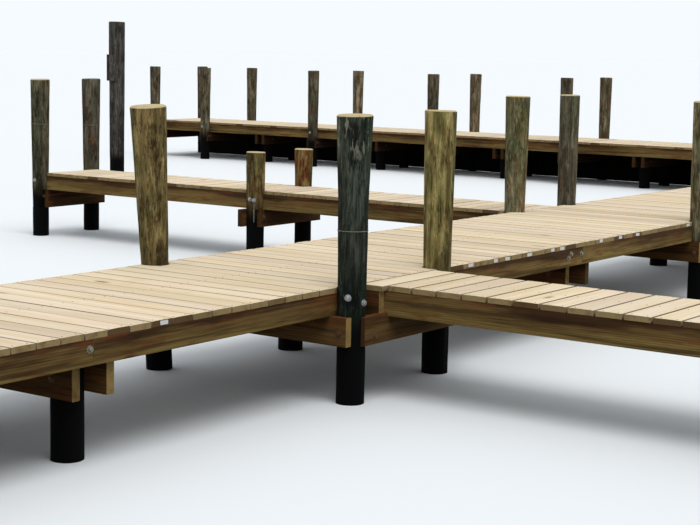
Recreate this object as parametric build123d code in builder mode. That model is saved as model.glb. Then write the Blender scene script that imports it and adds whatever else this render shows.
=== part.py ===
"""Wooden jetty on piles: a walkway with three finger piers and a mooring pile.

Millimetres. Z is up from the water line, where the piles are cut. X runs along the walkway.
Y runs across it, from the near side to the far side. The origin is the middle of the plan.
"""

import os
from dataclasses import dataclass

from build123d import *

# Heights above the water line, and above the deck
deck_top = 830
pile_stand = 1220
short_pile_stand = 457
tall_pile_stand = 2080

# Timber sections
board_thickness = 38
board_width = 184
board_gap = 6
near_finger_board_gap = 16
walkway_stringer_depth = 160
finger_stringer_depth = 184
stringer_thickness = 64
walkway_cap_depth = 208
finger_cap_depth = 204
deep_cap_depth = 235
cap_thickness = 64
butt_gap = 3

# Widths, and the length of the walkway in whole boards
walkway_width = 1829
walkway_boards = 132
boards_per_slab = 12
small_finger_width = 914
large_finger_width = 1524

# Spacing of the pile bents along the walkway, from its left end
left_bent_inset = 190
bay = 2440
junction_bay = 2370
corner_bay = 1385
after_corner_bay = 2390
middle_bay = 2390

# Spacing of the pile bents along the fingers
near_finger_bay = 3535
near_finger_bays = 2
middle_first_bay = 3507
middle_second_bay = 3633
far_first_bay = 1685
far_bay = 1524
far_bents_in_all = 11
end_setback = 90

# Places of the near and middle fingers, from the bents beside them
near_finger_offset = 281
middle_finger_offset = 535

# Diameters of the piles
pile_top_diameter = 244
pile_deck_diameter = 214
pile_foot_diameter = 206
hidden_pile_diameter = 208
junction_near_top_diameter = 258
junction_near_middle_diameter = 216
junction_near_deck_diameter = 204
junction_near_foot_diameter = 202
junction_far_top_diameter = 277
corner_top_diameter = 250
walkway_near_top_diameter = 252
walkway_near_deck_diameter = 218
middle_root_left_top_diameter = 259
middle_root_right_top_diameter = 222
middle_root_right_deck_diameter = 204
short_left_top_diameter = 230
short_right_top_diameter = 228
short_right_deck_diameter = 200
middle_end_top_diameter = 250
top_bevel = 10

# Where the piles stand, from their bent and from the edge beside them
pile_offset = 66
near_row_offset = 46
far_row_offset = 23
middle_pile_offset = 10
hidden_pile_inset = 315
junction_near_shift = 20
junction_near_offset = 81
junction_far_inset = 50
junction_far_lean = -80
corner_shift = -31
corner_inset = 60
middle_left_shift = -482
middle_right_shift = 677

# How the timbers meet the piles
cap_half_gap = 62
cap_past_pile = 50
middle_near_cap_past_left = 43
middle_far_cap_past_left = 173
middle_caps_past_right = 190
end_caps_past_right = 130
junction_cap_reach = 139
left_cap_setback = 145
right_cap_setback = 45
header_setback = 150
stringer_to_pile = 80
notch_clearance = 8
dap_play = 0.2

# Root block of the near finger, under its first board
root_block_thickness = 64
root_block_length = 180

# Wave screen below the far finger
screen_thickness = 38
screen_clearance = 4

# Mooring pile in the slip
mooring_x = 5595
mooring_y = 11155
mooring_diameter = 280
mooring_foot_diameter = 244
mooring_board_length = 450
mooring_board_width = 184
mooring_board_thickness = 50
mooring_board_seat = 12
mooring_board_drop = 560

# Levels that follow from the sections. The caps of two bents are deeper timbers than the rest.
deck_underside = deck_top - board_thickness
walkway_stringer_bottom = deck_underside - walkway_stringer_depth
walkway_cap_bottom = walkway_stringer_bottom - walkway_cap_depth
finger_stringer_bottom = deck_underside - finger_stringer_depth
finger_cap_bottom = finger_stringer_bottom - finger_cap_depth
deep_walkway_cap_bottom = walkway_stringer_bottom - deep_cap_depth
deep_finger_cap_bottom = finger_stringer_bottom - deep_cap_depth

# Plan lines that follow from the spacings
walkway_pitch = board_width + board_gap
walkway_length = walkway_boards * walkway_pitch - board_gap
near_reach = near_finger_bays * near_finger_bay
far_reach = far_first_bay + (far_bents_in_all - 1) * far_bay
left_end = -walkway_length / 2
right_end = walkway_length / 2
near_edge = near_reach - (near_reach + walkway_width + far_reach) / 2
far_edge = near_edge + walkway_width

# Bents of the walkway
left_bent = left_end + left_bent_inset
first_bent = left_bent + bay
junction_bent = first_bent + junction_bay
corner_bent = junction_bent + corner_bay
hidden_bent = corner_bent + after_corner_bay
middle_bent = hidden_bent + middle_bay
run_bents = [middle_bent + bay * n for n in (1, 2, 3, 4)]

# Edges of the fingers
near_left = junction_bent + near_finger_offset
near_right = near_left + small_finger_width
middle_left = middle_bent - middle_finger_offset
middle_right = middle_left + small_finger_width
far_left = right_end - large_finger_width
far_right = right_end

# Lines on which the piles of the fingers stand
far_bents = [far_left - pile_offset, far_right + pile_offset]
near_pile_lines = [near_left - pile_offset, near_right + pile_offset]
middle_pile_lines = [middle_left - middle_pile_offset, middle_right + middle_pile_offset]
near_finger_bents = [near_edge - near_finger_bay * (n + 1) for n in range(near_finger_bays)]
middle_first_bent = far_edge + middle_first_bay
middle_last_bent = middle_first_bent + middle_second_bay
far_finger_bents = [far_edge + far_first_bay + far_bay * n for n in range(far_bents_in_all)]
near_pile_row = near_edge - near_row_offset
far_pile_row = far_edge + far_row_offset


@dataclass
class Pile:
    """A round pile: where it stands at the deck, its top, its diameters, and its head's lean in X."""

    x: float
    y: float
    top: float = deck_top + pile_stand
    top_diameter: float = pile_top_diameter
    deck_diameter: float = pile_deck_diameter
    foot_diameter: float = pile_foot_diameter
    middle_diameter: float = 0
    lean: float = 0

    def place(self, height):
        """The pile's centre at a height."""
        return self.x + self.lean * (height - deck_top) / (self.top - deck_top), self.y

    def rings(self):
        """Heights and diameters from the foot to the bevelled head."""
        rings = [(0, self.foot_diameter), (min(deck_top, self.top / 2), self.deck_diameter)]
        if self.middle_diameter:
            rings.append(((deck_top + self.top) / 2, self.middle_diameter))
        rings.append((self.top - top_bevel, self.top_diameter))
        rings.append((self.top, self.top_diameter - 2 * top_bevel))
        return rings


def cut_off_pile(x, y, top):
    """A pile cut off level with the tops of the caps that it carries."""
    diameter = hidden_pile_diameter
    return Pile(x, y, top, diameter, diameter, diameter)


# Piles that rise beside the walkway
junction_near_pile = Pile(
    junction_bent + junction_near_shift,
    near_edge - junction_near_offset,
    top_diameter=junction_near_top_diameter,
    middle_diameter=junction_near_middle_diameter,
    deck_diameter=junction_near_deck_diameter,
    foot_diameter=junction_near_foot_diameter,
)
junction_far_pile = Pile(
    junction_bent,
    far_edge - junction_far_inset,
    top_diameter=junction_far_top_diameter,
    lean=junction_far_lean,
)
corner_pile = Pile(
    corner_bent + corner_shift, near_edge + corner_inset, top_diameter=corner_top_diameter
)
walkway_near_pile = Pile(
    middle_bent,
    near_pile_row,
    top_diameter=walkway_near_top_diameter,
    deck_diameter=walkway_near_deck_diameter,
)
middle_root_left_pile = Pile(
    middle_bent + middle_left_shift, far_pile_row, top_diameter=middle_root_left_top_diameter
)
middle_root_right_pile = Pile(
    middle_bent + middle_right_shift,
    far_pile_row,
    top_diameter=middle_root_right_top_diameter,
    deck_diameter=middle_root_right_deck_diameter,
)

# Piles of the middle finger
middle_left_short_pile = Pile(
    middle_pile_lines[0],
    middle_first_bent,
    deck_top + short_pile_stand,
    short_left_top_diameter,
)
middle_right_short_pile = Pile(
    middle_pile_lines[1],
    middle_first_bent,
    deck_top + short_pile_stand,
    short_right_top_diameter,
    short_right_deck_diameter,
)
middle_end_left_pile, middle_end_right_pile = [
    Pile(x, middle_last_bent, top_diameter=middle_end_top_diameter) for x in middle_pile_lines
]

# Piles of the near finger
near_finger_piles = [Pile(x, y) for y in near_finger_bents for x in near_pile_lines]

# Piles of the far finger: every second bent rises, and so does the last
rising_rows = [far_pile_row] + far_finger_bents[1::2] + far_finger_bents[-1:]
hidden_rows = far_finger_bents[0:-1:2]
far_finger_left_piles = [Pile(far_bents[0], y) for y in rising_rows]
far_finger_right_piles = [Pile(far_bents[1], y) for y in rising_rows]
far_finger_hidden_piles = [
    cut_off_pile(x, y, finger_stringer_bottom)
    for y in hidden_rows
    for x in (far_left + hidden_pile_inset, far_right - hidden_pile_inset)
]

# Piles of the rest of the walkway
open_bents = [left_bent, run_bents[1], run_bents[3]]
closed_bents = [first_bent, hidden_bent, run_bents[0], run_bents[2]]
near_row_piles = [Pile(x, near_pile_row) for x in open_bents + far_bents]
far_row_piles = [Pile(x, far_pile_row) for x in open_bents]
hidden_near_piles = [
    cut_off_pile(x, near_edge + hidden_pile_inset, walkway_stringer_bottom) for x in closed_bents
]
hidden_far_piles = [
    cut_off_pile(x, far_edge - hidden_pile_inset, walkway_stringer_bottom)
    for x in closed_bents + [corner_bent]
]

# The mooring pile stands alone in the slip
mooring_pile = Pile(
    middle_left + mooring_x,
    far_edge + mooring_y,
    deck_top + tall_pile_stand,
    mooring_diameter,
    (mooring_diameter + mooring_foot_diameter) / 2,
    mooring_foot_diameter,
)


@dataclass
class Plan:
    """The outline of a straight timber seen from above."""

    x0: float
    x1: float
    y0: float
    y1: float


# Caps: a pair at each bent, one on each side of the piles, bolted through
def cap_pair(x, y0, y1):
    """The two caps of a walkway bent."""
    inner = cap_half_gap
    outer = cap_half_gap + cap_thickness
    return [Plan(x - outer, x - inner, y0, y1), Plan(x + inner, x + outer, y0, y1)]


def finger_cap_pair(y, x0, x1):
    """The two caps of a finger bent."""
    inner = cap_half_gap
    outer = cap_half_gap + cap_thickness
    return [Plan(x0, x1, y - outer, y - inner), Plan(x0, x1, y + inner, y + outer)]


def finger_caps(lines, bents):
    """Cap pairs of a finger, their ends just past the piles."""
    caps = []
    for y in bents:
        caps += finger_cap_pair(y, lines[0] - cap_past_pile, lines[1] + cap_past_pile)
    return caps


def closed_cap_pair(x):
    """The two caps of a bent whose piles stop below the deck. Their near ends are set back."""
    left_cap, right_cap = cap_pair(x, near_edge, far_edge)
    left_cap.y0 += left_cap_setback
    right_cap.y0 += right_cap_setback
    return [left_cap, right_cap]


near_header_face = near_edge - header_setback
far_header_face = far_edge + header_setback
near_cap_end = near_pile_row - cap_past_pile
far_cap_end = far_pile_row + cap_past_pile
junction_cap_end = junction_far_pile.y + cap_past_pile

walkway_caps = []
for x in open_bents:
    walkway_caps += cap_pair(x, near_cap_end, far_cap_end)
for x in closed_bents[1:]:
    walkway_caps += closed_cap_pair(x)
deep_walkway_cap, first_right_cap = closed_cap_pair(first_bent)
walkway_caps.append(first_right_cap)
for x in far_bents + [middle_bent]:
    walkway_caps += cap_pair(x, near_cap_end, far_header_face)
walkway_caps += cap_pair(corner_bent, near_header_face, far_edge)
junction_caps = cap_pair(junction_bent, near_edge - junction_cap_reach, junction_cap_end)
junction_caps[1].y0 = near_header_face

near_finger_caps = finger_caps(near_pile_lines, near_finger_bents)
middle_first_caps = finger_cap_pair(
    middle_first_bent,
    middle_pile_lines[0] - middle_near_cap_past_left,
    middle_pile_lines[1] + middle_caps_past_right,
)
middle_first_caps[1].x0 = middle_pile_lines[0] - middle_far_cap_past_left
middle_end_caps = finger_cap_pair(
    middle_last_bent, middle_left, middle_pile_lines[1] + end_caps_past_right
)
far_finger_caps = finger_caps(far_bents, far_finger_bents[1::2] + far_finger_bents[-1:])
for y in hidden_rows:
    far_finger_caps += finger_cap_pair(y, far_left, far_right)

# Headers across the ends of the caps carry the roots of the fingers
cap_centre = cap_half_gap + cap_thickness / 2
near_header = Plan(
    junction_bent, corner_bent - cap_centre, near_header_face - cap_thickness, near_header_face
)
middle_header = Plan(
    middle_root_left_pile.x - cap_past_pile,
    middle_root_right_pile.x + cap_past_pile,
    far_header_face,
    far_header_face + cap_thickness,
)
far_header = Plan(
    far_bents[0] - cap_past_pile,
    far_bents[1] + cap_past_pile,
    far_header_face,
    far_header_face + cap_thickness,
)


# Stringers of the walkway, with their joints over the left cap of a bent
def walkway_stringers(y, joints, bent=None, pile=None):
    """Stringers end to end along the walkway, parted by a pile of a bent that is in their line."""
    stops = [left_end] + [joint - cap_centre for joint in joints] + [right_end]
    starts = [stops[0]] + [stop + butt_gap / 2 for stop in stops[1:-1]]
    ends = [stop - butt_gap / 2 for stop in stops[1:-1]] + [stops[-1]]
    if pile:
        index = joints.index(bent)
        ends[index] = pile.x - stringer_to_pile
        starts[index + 1] = pile.x + stringer_to_pile
    return [Plan(start, end, y, y + stringer_thickness) for start, end in zip(starts, ends)]


near_stringers = walkway_stringers(
    near_edge,
    [first_bent, corner_bent, hidden_bent, run_bents[1], run_bents[3]],
    corner_bent,
    corner_pile,
)
centre_stringers = walkway_stringers(
    near_edge + (walkway_width - stringer_thickness) / 2,
    [first_bent, corner_bent, middle_bent, run_bents[1], run_bents[3]],
)
far_stringers = walkway_stringers(
    far_edge - stringer_thickness,
    [junction_bent, hidden_bent, run_bents[0], run_bents[2]],
    junction_bent,
    junction_far_pile,
)


# Stringers of the fingers
def finger_stringers(left, right, root, end, bent=None):
    """Two edge stringers and a middle one. The piles of a bent may part the edge ones."""
    low, high = sorted((root, end))
    spans = [(low, high)]
    if bent is not None:
        spans = [(low, bent - stringer_to_pile), (bent + stringer_to_pile, high)]
    edges = [
        Plan(x, x + stringer_thickness, start, stop)
        for x in (left, right - stringer_thickness)
        for start, stop in spans
    ]
    middle = (left + right - stringer_thickness) / 2
    return edges + [Plan(middle, middle + stringer_thickness, low, high)]


near_finger_end = near_finger_bents[-1] + end_setback
middle_finger_end = middle_last_bent - end_setback
far_finger_end = far_finger_bents[-1] - end_setback
near_finger_stringers = finger_stringers(near_left, near_right, near_edge, near_finger_end)
middle_finger_stringers = finger_stringers(
    middle_left, middle_right, far_header_face, middle_finger_end, middle_first_bent
)
far_finger_stringers = finger_stringers(far_left, far_right, far_header_face, far_finger_end)
root_block = Plan(
    near_left - root_block_thickness, near_left, near_edge - root_block_length, near_edge
)

# The daps of the middle finger's piles run across the whole pile, past the ends of the caps
middle_first_daps = finger_caps(middle_pile_lines, [middle_first_bent])
middle_end_daps = finger_caps(middle_pile_lines, [middle_last_bent])
for dap in middle_first_daps + middle_end_daps:
    dap.x0 -= pile_top_diameter / 2
    dap.x1 += pile_top_diameter / 2

# Timbers that are let into the piles, by the level of their underside and their depth
dap_levels = [
    (walkway_caps + junction_caps + [near_header], walkway_cap_bottom, walkway_cap_depth),
    ([deep_walkway_cap], deep_walkway_cap_bottom, deep_cap_depth),
    (middle_end_daps, deep_finger_cap_bottom, deep_cap_depth),
    (
        near_finger_caps + middle_first_daps + far_finger_caps + [middle_header, far_header],
        finger_cap_bottom,
        finger_cap_depth,
    ),
    (near_stringers + far_stringers, walkway_stringer_bottom, walkway_stringer_depth),
    (
        near_finger_stringers + middle_finger_stringers + far_finger_stringers,
        finger_stringer_bottom,
        finger_stringer_depth,
    ),
]

rising_piles = [junction_near_pile, junction_far_pile, corner_pile, walkway_near_pile]
rising_piles += [middle_root_left_pile, middle_root_right_pile, middle_left_short_pile]
rising_piles += [middle_right_short_pile, middle_end_left_pile, middle_end_right_pile]
rising_piles += near_finger_piles + far_finger_left_piles + far_finger_right_piles
rising_piles += near_row_piles + far_row_piles


def save(part, name):
    part.part.label = name
    export_step(part.part, f"parts/{name}.step")


def outline(plan):
    """A timber's outline, added to the sketch being drawn."""
    with Locations(((plan.x0 + plan.x1) / 2, (plan.y0 + plan.y1) / 2)):
        Rectangle(plan.x1 - plan.x0, plan.y1 - plan.y0)


def make_timbers(name, groups, header=None):
    """Level timbers in groups of one underside and depth, all notched over a header."""
    with BuildPart() as part:
        for plans, bottom, depth in groups:
            with BuildSketch(Plane.XY.offset(bottom)):
                for plan in plans:
                    outline(plan)
            extrude(amount=depth)
        if header:
            with BuildSketch(Plane.XY.offset(bottom)):
                outline(header)
            extrude(amount=walkway_stringer_bottom - bottom + dap_play, mode=Mode.SUBTRACT)
    save(part, name)


def reaching(plans, piles):
    """The timbers that come within the width of any of the piles."""
    found = []
    for plan in plans:
        for pile in piles:
            reach = max(pile.top_diameter, pile.deck_diameter) / 2
            across = plan.x0 < pile.x + reach and plan.x1 > pile.x - reach
            along = plan.y0 < pile.y + reach and plan.y1 > pile.y - reach
            if across and along and plan not in found:
                found.append(plan)
    return found


def make_piles(name, piles):
    """Tapered piles with bevelled heads, and a flat dap where each timber is let in."""
    with BuildPart() as part:
        for pile in piles:
            for height, diameter in pile.rings():
                with BuildSketch(Plane.XY.offset(height)):
                    with Locations(pile.place(height)):
                        Circle(diameter / 2)
            loft(ruled=True)
        for plans, bottom, depth in dap_levels:
            let_in = reaching(plans, piles)
            if let_in:
                with BuildSketch(Plane.XY.offset(bottom)):
                    for plan in let_in:
                        outline(plan)
                extrude(amount=depth + dap_play, mode=Mode.SUBTRACT)
    save(part, name)


def make_deck(name, slabs):
    """Slabs of decking, notched round the piles that rise through them or beside them."""
    with BuildPart() as part:
        with BuildSketch(Plane.XY.offset(deck_underside)):
            for slab in slabs:
                outline(slab)
            for pile in rising_piles:
                with Locations((pile.x, pile.y)):
                    Circle(pile.deck_diameter / 2 + notch_clearance, mode=Mode.SUBTRACT)
        extrude(amount=board_thickness)
    save(part, name)


def slab_runs(length, pitch, gap):
    """Start and end of each slab of boards, with a board gap between slabs."""
    step = boards_per_slab * pitch
    starts = [n * step for n in range(max(1, round(length / step)))]
    ends = [start - gap for start in starts[1:]] + [length]
    return list(zip(starts, ends))


def finger_slabs(left, right, root, end, gap):
    """Slabs of a finger's decking, from a board gap off the walkway to the finger's end."""
    way = 1 if end > root else -1
    slabs = []
    for start, stop in slab_runs(abs(end - root) - gap, board_width + gap, gap):
        low, high = sorted((root + way * (gap + start), root + way * (gap + stop)))
        slabs.append(Plan(left, right, low, high))
    return slabs


os.makedirs("parts", exist_ok=True)

walkway_slabs = [
    Plan(left_end + start, left_end + stop, near_edge, far_edge)
    for start, stop in slab_runs(walkway_length, walkway_pitch, board_gap)
]
near_slabs = finger_slabs(near_left, near_right, near_edge, near_finger_end, near_finger_board_gap)
root_board = Plan(
    root_block.x0,
    near_right,
    near_edge - near_finger_board_gap - board_width,
    near_edge - near_finger_board_gap,
)
middle_slabs = finger_slabs(middle_left, middle_right, far_edge, middle_finger_end, board_gap)
far_slabs = finger_slabs(far_left, far_right, far_edge, far_finger_end, board_gap)
make_deck("walkway_deck", walkway_slabs)
make_deck("near_finger_deck", near_slabs + [root_board])
make_deck("middle_finger_deck", middle_slabs)
make_deck("far_finger_deck", far_slabs)

walkway_stringer_nodes = {
    "walkway_near_stringer": near_stringers,
    "walkway_centre_stringer": centre_stringers,
    "walkway_far_stringer": far_stringers,
}
for name, plans in walkway_stringer_nodes.items():
    make_timbers(name, [(plans, walkway_stringer_bottom, walkway_stringer_depth)])

finger_stringer_nodes = {
    "near_finger_stringers": (near_finger_stringers, near_header),
    "near_finger_root_block": ([root_block], near_header),
    "middle_finger_stringers": (middle_finger_stringers, None),
    "far_finger_stringers": (far_finger_stringers, None),
}
for name, (plans, header) in finger_stringer_nodes.items():
    make_timbers(name, [(plans, finger_stringer_bottom, finger_stringer_depth)], header)

cap_nodes = {
    "walkway_caps": [
        (walkway_caps, walkway_cap_bottom, walkway_cap_depth),
        ([deep_walkway_cap], deep_walkway_cap_bottom, deep_cap_depth),
    ],
    "junction_caps": [(junction_caps, walkway_cap_bottom, walkway_cap_depth)],
    "near_finger_header": [([near_header], walkway_cap_bottom, walkway_cap_depth)],
    "near_finger_caps": [(near_finger_caps, finger_cap_bottom, finger_cap_depth)],
    "middle_finger_caps": [
        (middle_first_caps, finger_cap_bottom, finger_cap_depth),
        (middle_end_caps, deep_finger_cap_bottom, deep_cap_depth),
    ],
    "far_finger_caps": [(far_finger_caps, finger_cap_bottom, finger_cap_depth)],
    "middle_finger_header": [([middle_header], finger_cap_bottom, finger_cap_depth)],
    "far_finger_header": [([far_header], finger_cap_bottom, finger_cap_depth)],
}
for name, groups in cap_nodes.items():
    make_timbers(name, groups)

# The wave screen hangs on the outer face of the far stringer, cut to fit round the rising piles
screen_start = far_header_face + cap_thickness + screen_clearance
with BuildPart() as screen:
    with BuildSketch():
        outline(Plan(far_right, far_right + screen_thickness, screen_start, far_finger_bents[-1]))
        for pile in far_finger_right_piles[1:]:
            with Locations((pile.x, pile.y)):
                Circle(pile.deck_diameter / 2 + screen_clearance, mode=Mode.SUBTRACT)
    extrude(amount=deck_underside)
    with BuildSketch(Plane.XY.offset(finger_cap_bottom - screen_clearance)):
        for cap in reaching(far_finger_caps, far_finger_right_piles[1:]):
            outline(Plan(cap.x0, cap.x1, cap.y0 - screen_clearance, cap.y1 + screen_clearance))
    extrude(amount=finger_cap_depth + screen_clearance, mode=Mode.SUBTRACT)
save(screen, "far_finger_wave_screen")

pile_nodes = {
    "junction_near_pile": [junction_near_pile],
    "junction_far_pile": [junction_far_pile],
    "corner_pile": [corner_pile],
    "walkway_near_pile": [walkway_near_pile],
    "middle_root_left_pile": [middle_root_left_pile],
    "middle_root_right_pile": [middle_root_right_pile],
    "middle_left_short_pile": [middle_left_short_pile],
    "middle_right_short_pile": [middle_right_short_pile],
    "middle_end_left_pile": [middle_end_left_pile],
    "middle_end_right_pile": [middle_end_right_pile],
    "near_finger_piles": near_finger_piles,
    "far_finger_left_piles": far_finger_left_piles,
    "far_finger_right_piles": far_finger_right_piles,
    "far_finger_hidden_piles": far_finger_hidden_piles,
    "walkway_near_row_piles": near_row_piles,
    "walkway_far_row_piles": far_row_piles,
    "walkway_hidden_near_piles": hidden_near_piles,
    "walkway_hidden_far_piles": hidden_far_piles,
}
for name, piles in pile_nodes.items():
    make_piles(name, piles)

# The mooring pile has a short board let into its left side
board_face = mooring_pile.x - mooring_foot_diameter / 2 + mooring_board_seat
mooring_board = Plan(
    board_face - mooring_board_thickness,
    board_face,
    mooring_pile.y - mooring_board_width / 2,
    mooring_pile.y + mooring_board_width / 2,
)
mooring_board_bottom = mooring_pile.top - mooring_board_drop - mooring_board_length
make_timbers(
    "mooring_pile_board", [([mooring_board], mooring_board_bottom, mooring_board_length)]
)
with BuildPart() as mooring:
    for height, diameter in [
        (0, mooring_pile.foot_diameter),
        (mooring_pile.top - top_bevel, mooring_pile.top_diameter),
        (mooring_pile.top, mooring_pile.top_diameter - 2 * top_bevel),
    ]:
        with BuildSketch(Plane.XY.offset(height)):
            with Locations((mooring_pile.x, mooring_pile.y)):
                Circle(diameter / 2)
    loft(ruled=True)
    with BuildSketch(Plane.XY.offset(mooring_board_bottom)):
        outline(mooring_board)
    extrude(amount=mooring_board_length + dap_play, mode=Mode.SUBTRACT)
save(mooring, "mooring_pile")
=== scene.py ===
"""Looks of the wooden jetty: boards, timbers, piles, fixings, finishes, stage and camera.

Metres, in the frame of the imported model: Z is up from the water line, and X runs along the walkway.
"""

import math
import random

import bmesh
import bpy
import numpy as np
from bpy.props import FloatProperty, FloatVectorProperty, IntProperty, PointerProperty
from bpy.types import Operator, Panel, PropertyGroup
from mathutils import Matrix, Vector


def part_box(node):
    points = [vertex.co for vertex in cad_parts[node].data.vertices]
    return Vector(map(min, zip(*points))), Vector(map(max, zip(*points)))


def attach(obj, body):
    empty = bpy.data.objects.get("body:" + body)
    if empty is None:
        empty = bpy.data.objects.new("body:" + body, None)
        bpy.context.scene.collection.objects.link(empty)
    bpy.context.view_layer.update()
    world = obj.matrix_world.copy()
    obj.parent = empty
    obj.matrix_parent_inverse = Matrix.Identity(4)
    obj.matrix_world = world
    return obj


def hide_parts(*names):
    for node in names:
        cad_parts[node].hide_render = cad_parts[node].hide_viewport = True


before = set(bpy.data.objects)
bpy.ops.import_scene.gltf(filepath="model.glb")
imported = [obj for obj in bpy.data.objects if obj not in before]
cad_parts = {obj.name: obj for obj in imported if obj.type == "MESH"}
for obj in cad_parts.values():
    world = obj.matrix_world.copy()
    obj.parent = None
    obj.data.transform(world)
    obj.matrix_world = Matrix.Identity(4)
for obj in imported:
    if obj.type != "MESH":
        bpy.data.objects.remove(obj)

bl_info = {
    "name": "Wooden Jetty",
    "version": (1, 0, 0),
    "blender": (4, 5, 0),
    "location": "3D View > Sidebar > Jetty",
    "description": "Dresses the timber jetty with boards, timbers, piles, fixings and finishes",
    "category": "Add Mesh",
}

WELD = 1e-5
SAME_LEVEL = WELD * 10

# Each deck's direction of rows of boards, and the stringers below it
DECKS = {
    "walkway_deck": ("X", ["walkway_near_stringer", "walkway_centre_stringer", "walkway_far_stringer"]),
    "near_finger_deck": ("Y", ["near_finger_stringers"]),
    "middle_finger_deck": ("Y", ["middle_finger_stringers"]),
    "far_finger_deck": ("Y", ["far_finger_stringers"]),
}

# Each timber's slot, its look and the look of its cut ends
STRINGER = ("stringer", "stringer", "cut_end")
CAP = ("cap", "cap", "cut_end")
DARK_CAP = ("cap", "cap", "dark_end")
TIMBERS = {
    "walkway_near_stringer": STRINGER,
    "walkway_centre_stringer": STRINGER,
    "walkway_far_stringer": STRINGER,
    "near_finger_stringers": STRINGER,
    "middle_finger_stringers": STRINGER,
    "far_finger_stringers": STRINGER,
    "near_finger_root_block": ("stringer", "block", "cut_end"),
    "walkway_caps": CAP,
    "junction_caps": ("cap", "open_cap", "cut_end"),
    "near_finger_caps": CAP,
    "middle_finger_caps": ("cap", "red_cap", "dark_end"),
    # The far finger's caps take a darker look and darker ends: painted shade under its deck
    "far_finger_caps": ("cap", "shade_cap", "shade_end"),
    "near_finger_header": ("cap", "open_cap", "dark_end"),
    "middle_finger_header": DARK_CAP,
    "far_finger_header": DARK_CAP,
    "mooring_pile_board": ("cap", "mooring_board", "dark_end"),
}

# Looks of the timbers: low, main, high, dark and red colours, and how much of the red shows. The high colour
# darkens the top of a timber: damp wood, and painted shade from what lies on it
TIMBER_LOOKS = {
    "stringer": ("stringer_low", "stringer", "stringer_high", "stringer_dark", "stringer_red", 0.6),
    "cap": ("cap_low", "cap", "cap_high", "cap_dark", "cap_red", 0.35),
    "open_cap": ("cap_open", "cap_open", "cap", "cap_dark", "cap_red", 0.2),
    "red_cap": ("cap_low", "cap", "cap_high", "cap_dark", "cap_red", 0.75),
    # A darker copy of the caps: painted shade for the caps under the far finger's deck
    "shade_cap": ("cap_high", "cap_high", "cap_dark", "screen", "cap_dark", 0.3),
    "block": ("cap_low", "cap", "cap", "cap_dark", "cap_red", 0.3),
}

# Looks of cut ends: the pale colour, and the share of ends that stay pale. The ends of the far finger's caps
# are darkened as painted shade
END_LOOKS = {"cut_end": ("cut_end", 0.8), "dark_end": ("cut_end_dark", 0.6), "shade_end": ("cap_high", 0.6)}
PILES = {
    "junction_near_pile": "green_black",
    "junction_far_pile": "tan",
    "corner_pile": "olive",
    "walkway_near_pile": "mossy",
    "middle_root_left_pile": "mossy",
    "middle_root_right_pile": "grey",
    "middle_left_short_pile": "brown",
    "middle_right_short_pile": "red_brown",
    "middle_end_left_pile": "green_brown",
    "middle_end_right_pile": "grey_red",
    "mooring_pile": "black_brown",
    "near_finger_piles": "olive",
    "far_finger_left_piles": "dark",
    "far_finger_right_piles": "dark",
    "walkway_near_row_piles": "olive",
    "walkway_far_row_piles": "tan",
    # The hidden piles under the decks take the near-black look: painted shade, with wet wood
    "far_finger_hidden_piles": "wet",
    "walkway_hidden_near_piles": "wet",
    "walkway_hidden_far_piles": "wet",
}


def tone(red, green, blue):
    """A colour given as screen values from 0 to 255, in the linear values that Blender holds."""
    scaled = [value / 255 for value in (red, green, blue)]
    linear = [v / 12.92 if v <= 0.04045 else ((v + 0.055) / 1.055) ** 2.4 for v in scaled]
    return (*linear, 1.0)


def colour(name, description, *screen):
    """A colour that a user may change, from its screen values."""
    settings = {"subtype": "COLOR", "size": 4, "min": 0, "max": 1}
    return FloatVectorProperty(name=name, description=description, default=tone(*screen), **settings)


def number(name, description, value, **settings):
    """A plain number that a user may change."""
    return FloatProperty(name=name, description=description, default=value, **settings)


def length(name, description, value):
    """A length in metres that a user may change."""
    return number(name, description, value, precision=4, subtype="DISTANCE", unit="LENGTH")


def angle(name, description, degrees):
    """An angle that a user may change."""
    return number(name, description, math.radians(degrees), subtype="ANGLE")


def count(name, description, value):
    """A whole number that a user may change."""
    return IntProperty(name=name, description=description, default=value)


class JettyBoards(PropertyGroup):
    """Sizes of the decking and of the wave screen."""

    width: length("Board width", "Width of a deck board", 0.1825)
    gap: length("Gap", "Gap between boards", 0.0072)
    near_width: length("Near finger board width", "Width of a board of the near finger", 0.19)
    near_gap: length("Near finger gap", "Gap between the boards of the near finger", 0.01)
    edge: length("Eased edge", "Radius of the eased long edges", 0.004)
    cup: length("Cup", "How far the edges of a board curl up", 0.0012)
    bow: length("Bow", "How far a board wanders from straight", 0.0022)
    end_play: length("End play", "How far the cut ends are out of line", 0.004)
    lift_play: length("Lift play", "How far one board stands above the next", 0.0012)
    turn_play: angle("Turn play", "How far a board is out of square", 0.06)
    notch_play: length("Notch play", "Gap between a board and the pile it is notched round", 0.008)
    screen_gap: length("Screen gap", "Gap between the boards of the wave screen", 0.0015)
    seed: count("Seed", "Seed of the unevenness", 7)


class JettyTimbers(PropertyGroup):
    """Sizes of the stringers, caps and headers."""

    edge: length("Eased edge", "Radius of the eased long edges", 0.005)
    bow: length("Bow", "How far a timber wanders from straight", 0.003)
    step: length("Step", "Distance between the rings of a timber's mesh", 0.15)


class JettyPiles(PropertyGroup):
    """Sizes of the round piles."""

    near_sides: count("Near sides", "Sides of the piles that are seen close", 72)
    far_sides: count("Far sides", "Sides of the other piles", 36)
    step: length("Step", "Distance between the rings of a pile's mesh", 0.045)
    lump: length("Lump", "Height of the broad lumps along a pile", 0.009)
    flute: length("Flute", "Depth of the long hollows along a pile", 0.008)
    head_slope: number("Head slope", "Fall of a pile's sawn head, as rise over run", 0.03)
    dap_play: length("Dap play", "Gap between a timber and the dap that it lies in", 0.002)
    band_size: length("Band size", "Thickness of the bands round the piles", 0.006)


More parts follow.
